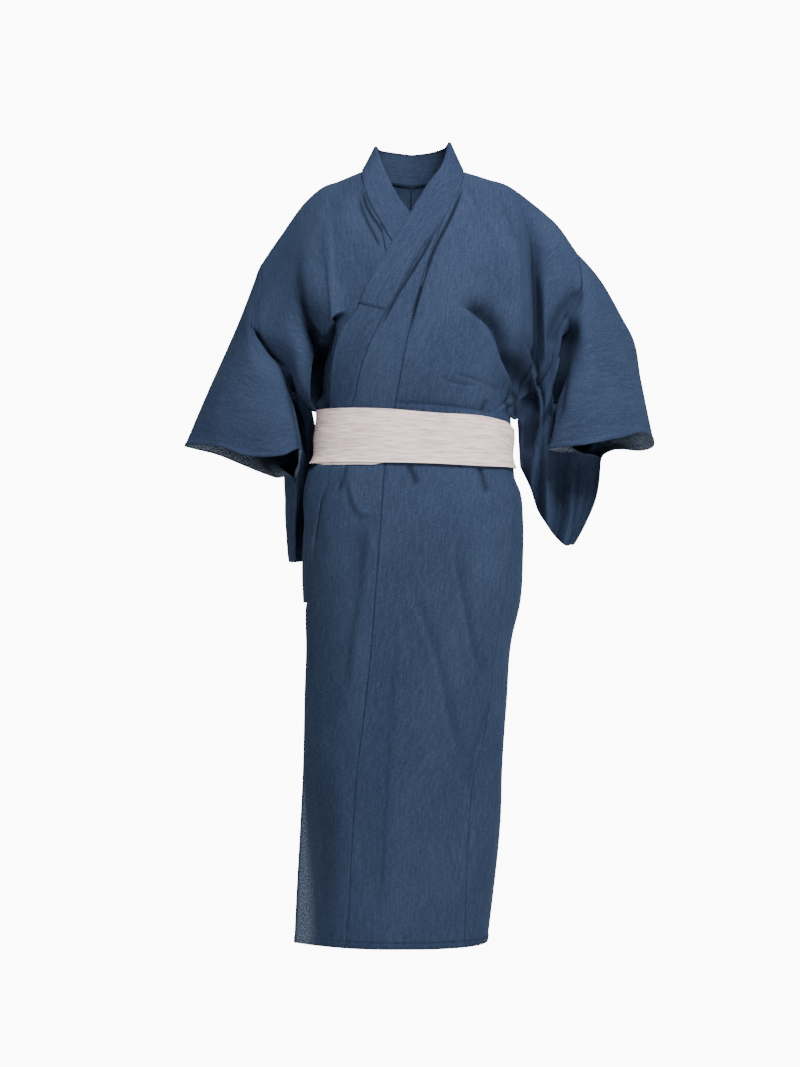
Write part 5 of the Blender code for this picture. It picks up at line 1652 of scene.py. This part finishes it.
def obi_shell(name, inside, lip):
    """One turn of the sash round the waist."""
    angles = np.linspace(-180, 180, 241)[:-1]
    share = np.linspace(0, 1, 21)
    xs, tops, lows = zip(*OBI_EDGES)

    def surface(angle, part):
        x = ring(angle, WAIST_Z)[..., 0]
        top, low = spline(xs, tops, x), spline(xs, lows, x)
        shown = smooth(*LIP_RANGE[:2], x) * smooth(*LIP_RANGE[2:], x)
        low = low - lip * shown * (np.abs(angle) < 90)
        z = low + (top - low) * part[:, None]
        return wrapped(angle + 0 * z, z, -(inside + OBI_WALL))
    points, normals = patch(surface, angles, share, AXIS, step=1e-3)
    return shell(name, name, points, normals, tube_uv(share * SASH_WIDTH, points),
                 OBI_WALL * SASH_WALL, closed=True, slot="sash")


obi_inner = obi_shell("obi_inner", GAP, LIP)
obi_outer = obi_shell("obi_outer", GAP * 2 + OBI_WALL, 0.0)
print("sash turns", len(obi_outer.data.polygons))

# %% The knot
OBI_OUTSIDE = 2 * (GAP + OBI_WALL)
KNOT_MIDDLE = (4, -462)
# width, lean in degrees, then along the band: distance from the middle, height off the sash
KNOT_LOOP = (84, 52, (
    (72, 5.4), (20, 5.0), (-40, 5.4), (-80, 7), (-88, 11), (-80, 15), (-30, 15.4), (30, 15.4), (74, 15)))
KNOT_END = (52, -38, (
    (-45, 3.6), (-52, 7), (-53, 15), (-44, 19.4), (0, 20), (44, 19.4), (66, 18), (92, 19), (112, 22)))


def band_shell(name, width, lean, path):
    """A band of the knot, along a path of distance and height off the sash."""
    lean = np.radians(lean)
    along_line = np.array([np.sin(lean), np.cos(lean)])
    across_line = np.array([along_line[1], -along_line[0]])
    path = np.array(path, float)
    knots = np.concatenate([[0], np.cumsum(np.linalg.norm(np.diff(path, axis=0), axis=1))])

    def surface(u, v):
        far, off = spline(knots, path, v).T
        x = KNOT_MIDDLE[0] + far[:, None] * along_line[0] + u[None, :] * across_line[0]
        z = KNOT_MIDDLE[1] + far[:, None] * along_line[1] + u[None, :] * across_line[1]
        return np.stack([x, section_depth(x, z, REAR) + OBI_OUTSIDE + off[:, None], z], -1)
    u = np.linspace(-width / 2, width / 2, 17)
    v = finer(knots, PER_LEVEL["knot"])
    points, normals = patch(surface, u, v)
    uv = np.stack(np.broadcast_arrays(u[None] * MM, v[:, None] * MM), -1)
    return shell(name, name, points, normals, uv, OBI_WALL * SASH_WALL, slot="sash")


knot_loop = band_shell("knot_loop", *KNOT_LOOP)
knot_end = band_shell("knot_end", *KNOT_END)
print("knot shells", len(knot_loop.data.polygons), len(knot_end.data.polygons))

# %% [markdown]
# ## Hand sewing
# Hems, the open edge and the cuffs are held by small stitches that barely show. They could
# be modelled one by one, but there are hundreds, all alike. A node tree sets one short
# thread at even steps along each line instead, turned the way that the line runs.

# %% Stitches
STITCH_SIZES = {"Spacing": 0.018, "Length": 0.0022, "Radius": 0.00022}      # metres
THREAD_SIDES = 6
THREAD_FINISH = {"Base Color": (0.035, 0.055, 0.11, 1), "Roughness": 0.8}


def stitch_tree(material):
    """Short threads along every line of a mesh, turned to follow it."""
    tree = bpy.data.node_groups.new("stitches", "GeometryNodeTree")
    tree.interface.new_socket("Geometry", in_out="INPUT", socket_type="NodeSocketGeometry")
    for label in STITCH_SIZES:
        tree.interface.new_socket(label, in_out="INPUT", socket_type="NodeSocketFloat")
    tree.interface.new_socket("Geometry", in_out="OUTPUT", socket_type="NodeSocketGeometry")
    start = add_node(tree, "NodeGroupInput")
    curve = add_node(tree, "GeometryNodeMeshToCurve")
    even = add_node(tree, "GeometryNodeResampleCurve", mode="LENGTH")
    tangent = add_node(tree, "GeometryNodeInputTangent")
    turn = add_node(tree, "FunctionNodeAlignRotationToVector", axis="Z")
    rod = add_node(tree, "GeometryNodeMeshCylinder", {"Vertices": THREAD_SIDES})
    place = add_node(tree, "GeometryNodeInstanceOnPoints")
    real = add_node(tree, "GeometryNodeRealizeInstances")
    paint = add_node(tree, "GeometryNodeSetMaterial", {"Material": material})
    end = add_node(tree, "NodeGroupOutput")
    for source, target in (
            (start.outputs["Geometry"], curve.inputs["Mesh"]),
            (curve.outputs["Curve"], even.inputs["Curve"]),
            (start.outputs["Spacing"], even.inputs["Length"]),
            (start.outputs["Length"], rod.inputs["Depth"]),
            (start.outputs["Radius"], rod.inputs["Radius"]),
            (tangent.outputs["Tangent"], turn.inputs["Vector"]),
            (even.outputs["Curve"], place.inputs["Points"]),
            (rod.outputs["Mesh"], place.inputs["Instance"]),
            (turn.outputs["Rotation"], place.inputs["Rotation"]),
            (place.outputs["Instances"], real.inputs["Geometry"]),
            (real.outputs["Geometry"], paint.inputs["Geometry"]),
            (paint.outputs["Geometry"], end.inputs["Geometry"])):
        tree.links.new(source, target)
    return tree


def stitch_piece(name, lines, tree):
    """All the stitches of one piece, as one plain mesh."""
    verts, edges = [], []
    for line in lines:
        first = len(verts)
        verts += (line * MM).tolist()
        edges += [(first + i, first + i + 1) for i in range(len(line) - 1)]
    guide_mesh = bpy.data.meshes.new(name + "_guide")
    guide_mesh.from_pydata(verts, edges, [])
    guide = linked(name + "_guide", guide_mesh)
    sewing = guide.modifiers.new("sewing", "NODES")
    sewing.node_group = tree
    for item in tree.interface.items_tree:
        if item.in_out == "INPUT" and item.name in STITCH_SIZES:
            sewing[item.identifier] = STITCH_SIZES[item.name]
    bpy.context.view_layer.update()
    graph = bpy.context.evaluated_depsgraph_get()
    mesh = bpy.data.meshes.new_from_object(guide.evaluated_get(graph))
    guide.modifiers.remove(sewing)
    bpy.data.objects.remove(guide)
    piece = linked(name, mesh)
    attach(piece, "root")
    return piece


stitch_nodes = stitch_tree(new_material("thread", THREAD_FINISH)[0])
STITCHES = {name: stitch_piece("stitches_" + name, lines, stitch_nodes)
            for name, lines in STITCHED.items()}
print("stitches", {name: len(piece.data.polygons) // 8 for name, piece in STITCHES.items()})

# %% [markdown]
# ## The cut of each piece
# A yukata is cut in straight strips across a bolt about 0.37 m wide, so every piece has a
# flat width and length, a tube's all round.

# %% [markdown]
# ## Light, floor and camera
# A studio has soft light and a ground that is nearly white all round. A very bright
# lamp on the floor could whiten it, but it would wash out the cloth too. Instead the
# material asks which rays come from the camera: those see a white glow, while the light
# that reaches the cloth is that of a plain pale floor.

# %% Floor
FLOOR_Z = -1.475
FLOOR_HALF = 9          # metres from its middle to its edge
FLOOR_FINISH = {"Base Color": (0.9, 0.9, 0.9, 1), "Roughness": 0.9}
BACKDROP = 10.8         # brightness of the ground to the camera


def bright(tree, shader, kind):
    """Makes a ground look nearly white to the camera and no brighter to the cloth."""
    sight = add_node(tree, "ShaderNodeLightPath")
    glow = add_node(tree, kind, {"Color": (1, 1, 1, 1), "Strength": BACKDROP})
    mix = add_node(tree, "ShaderNodeMixShader")
    tree.links.new(sight.outputs["Is Camera Ray"], mix.inputs["Fac"])
    tree.links.new(shader, mix.inputs[1])
    tree.links.new(glow.outputs[0], mix.inputs[2])
    return mix.outputs["Shader"]


def floor_sheet():
    """A plain flat floor, the same shade as the ground all round."""
    near, far = -FLOOR_HALF, FLOOR_HALF
    corners = [(x, y, FLOOR_Z) for x, y in ((near, near), (far, near), (far, far), (near, far))]
    mesh = bpy.data.meshes.new("floor")
    mesh.from_pydata(corners, [], [(0, 1, 2, 3)])
    ground = linked("floor", mesh)
    material, tree, shader = new_material("floor", FLOOR_FINISH)
    white = bright(tree, shader.outputs["BSDF"], "ShaderNodeEmission")
    tree.links.new(white, tree.nodes["Material Output"].inputs["Surface"])
    mesh.materials.append(material)
    return ground


floor_sheet()
print("floor at", FLOOR_Z, "m")

# %% Light all round
AMBIENT = 0.26

world = bpy.data.worlds.new("studio")
bpy.context.scene.world = world
world.use_nodes = True
sky = world.node_tree.nodes["Background"]
sky.inputs["Color"].default_value = (1, 1, 1, 1)
sky.inputs["Strength"].default_value = AMBIENT
plain = bright(world.node_tree, sky.outputs["Background"], "ShaderNodeBackground")
world.node_tree.links.new(plain, world.node_tree.nodes["World Output"].inputs["Surface"])
print("light all round", AMBIENT)

# %% Lamps
LAMPS = (
    # name, place, what it points at, width and height in metres, watts
    ("key", (1.0, -2.3, 2.0), (0, 0, -0.3), (1.1, 1.1), 220),
    ("back", (-0.4, 3.2, 1.4), (0, 0, -0.5), (2.2, 2.2), 55),
    ("fill", (-2.6, -3.0, 0.8), (0, 0, -0.4), (2.0, 2.6), 16),
)


def area_light(name, place, aim, size, power):
    """A soft rectangular lamp, turned to its aim."""
    light = bpy.data.lights.new(name, "AREA")
    light.shape = "RECTANGLE"
    light.size, light.size_y = size
    light.energy = power
    lamp = linked(name, light)
    lamp.location = place
    direction = np.array(aim, float) - np.array(place, float)
    yaw = math.atan2(-direction[0], direction[1])
    pitch = math.atan2(direction[2], math.hypot(direction[0], direction[1]))
    lamp.rotation_euler = (pitch + math.pi / 2, 0, yaw)


for lamp_values in LAMPS:
    area_light(*lamp_values)
print("lamps", len(LAMPS))

# %% Camera
CAMERA_PLACE = (-0.021, -4.8, -0.633)
LENS = 91.0             # millimetres, on a sensor 36 mm high
SENSOR = 36

camera = bpy.data.cameras.new("camera")
camera.sensor_fit = "VERTICAL"
camera.sensor_height = SENSOR
camera.lens = LENS
eye = linked("camera", camera)
eye.location = CAMERA_PLACE
eye.rotation_euler = (math.pi / 2, 0, 0)
bpy.context.scene.camera = eye
print("camera", CAMERA_PLACE)
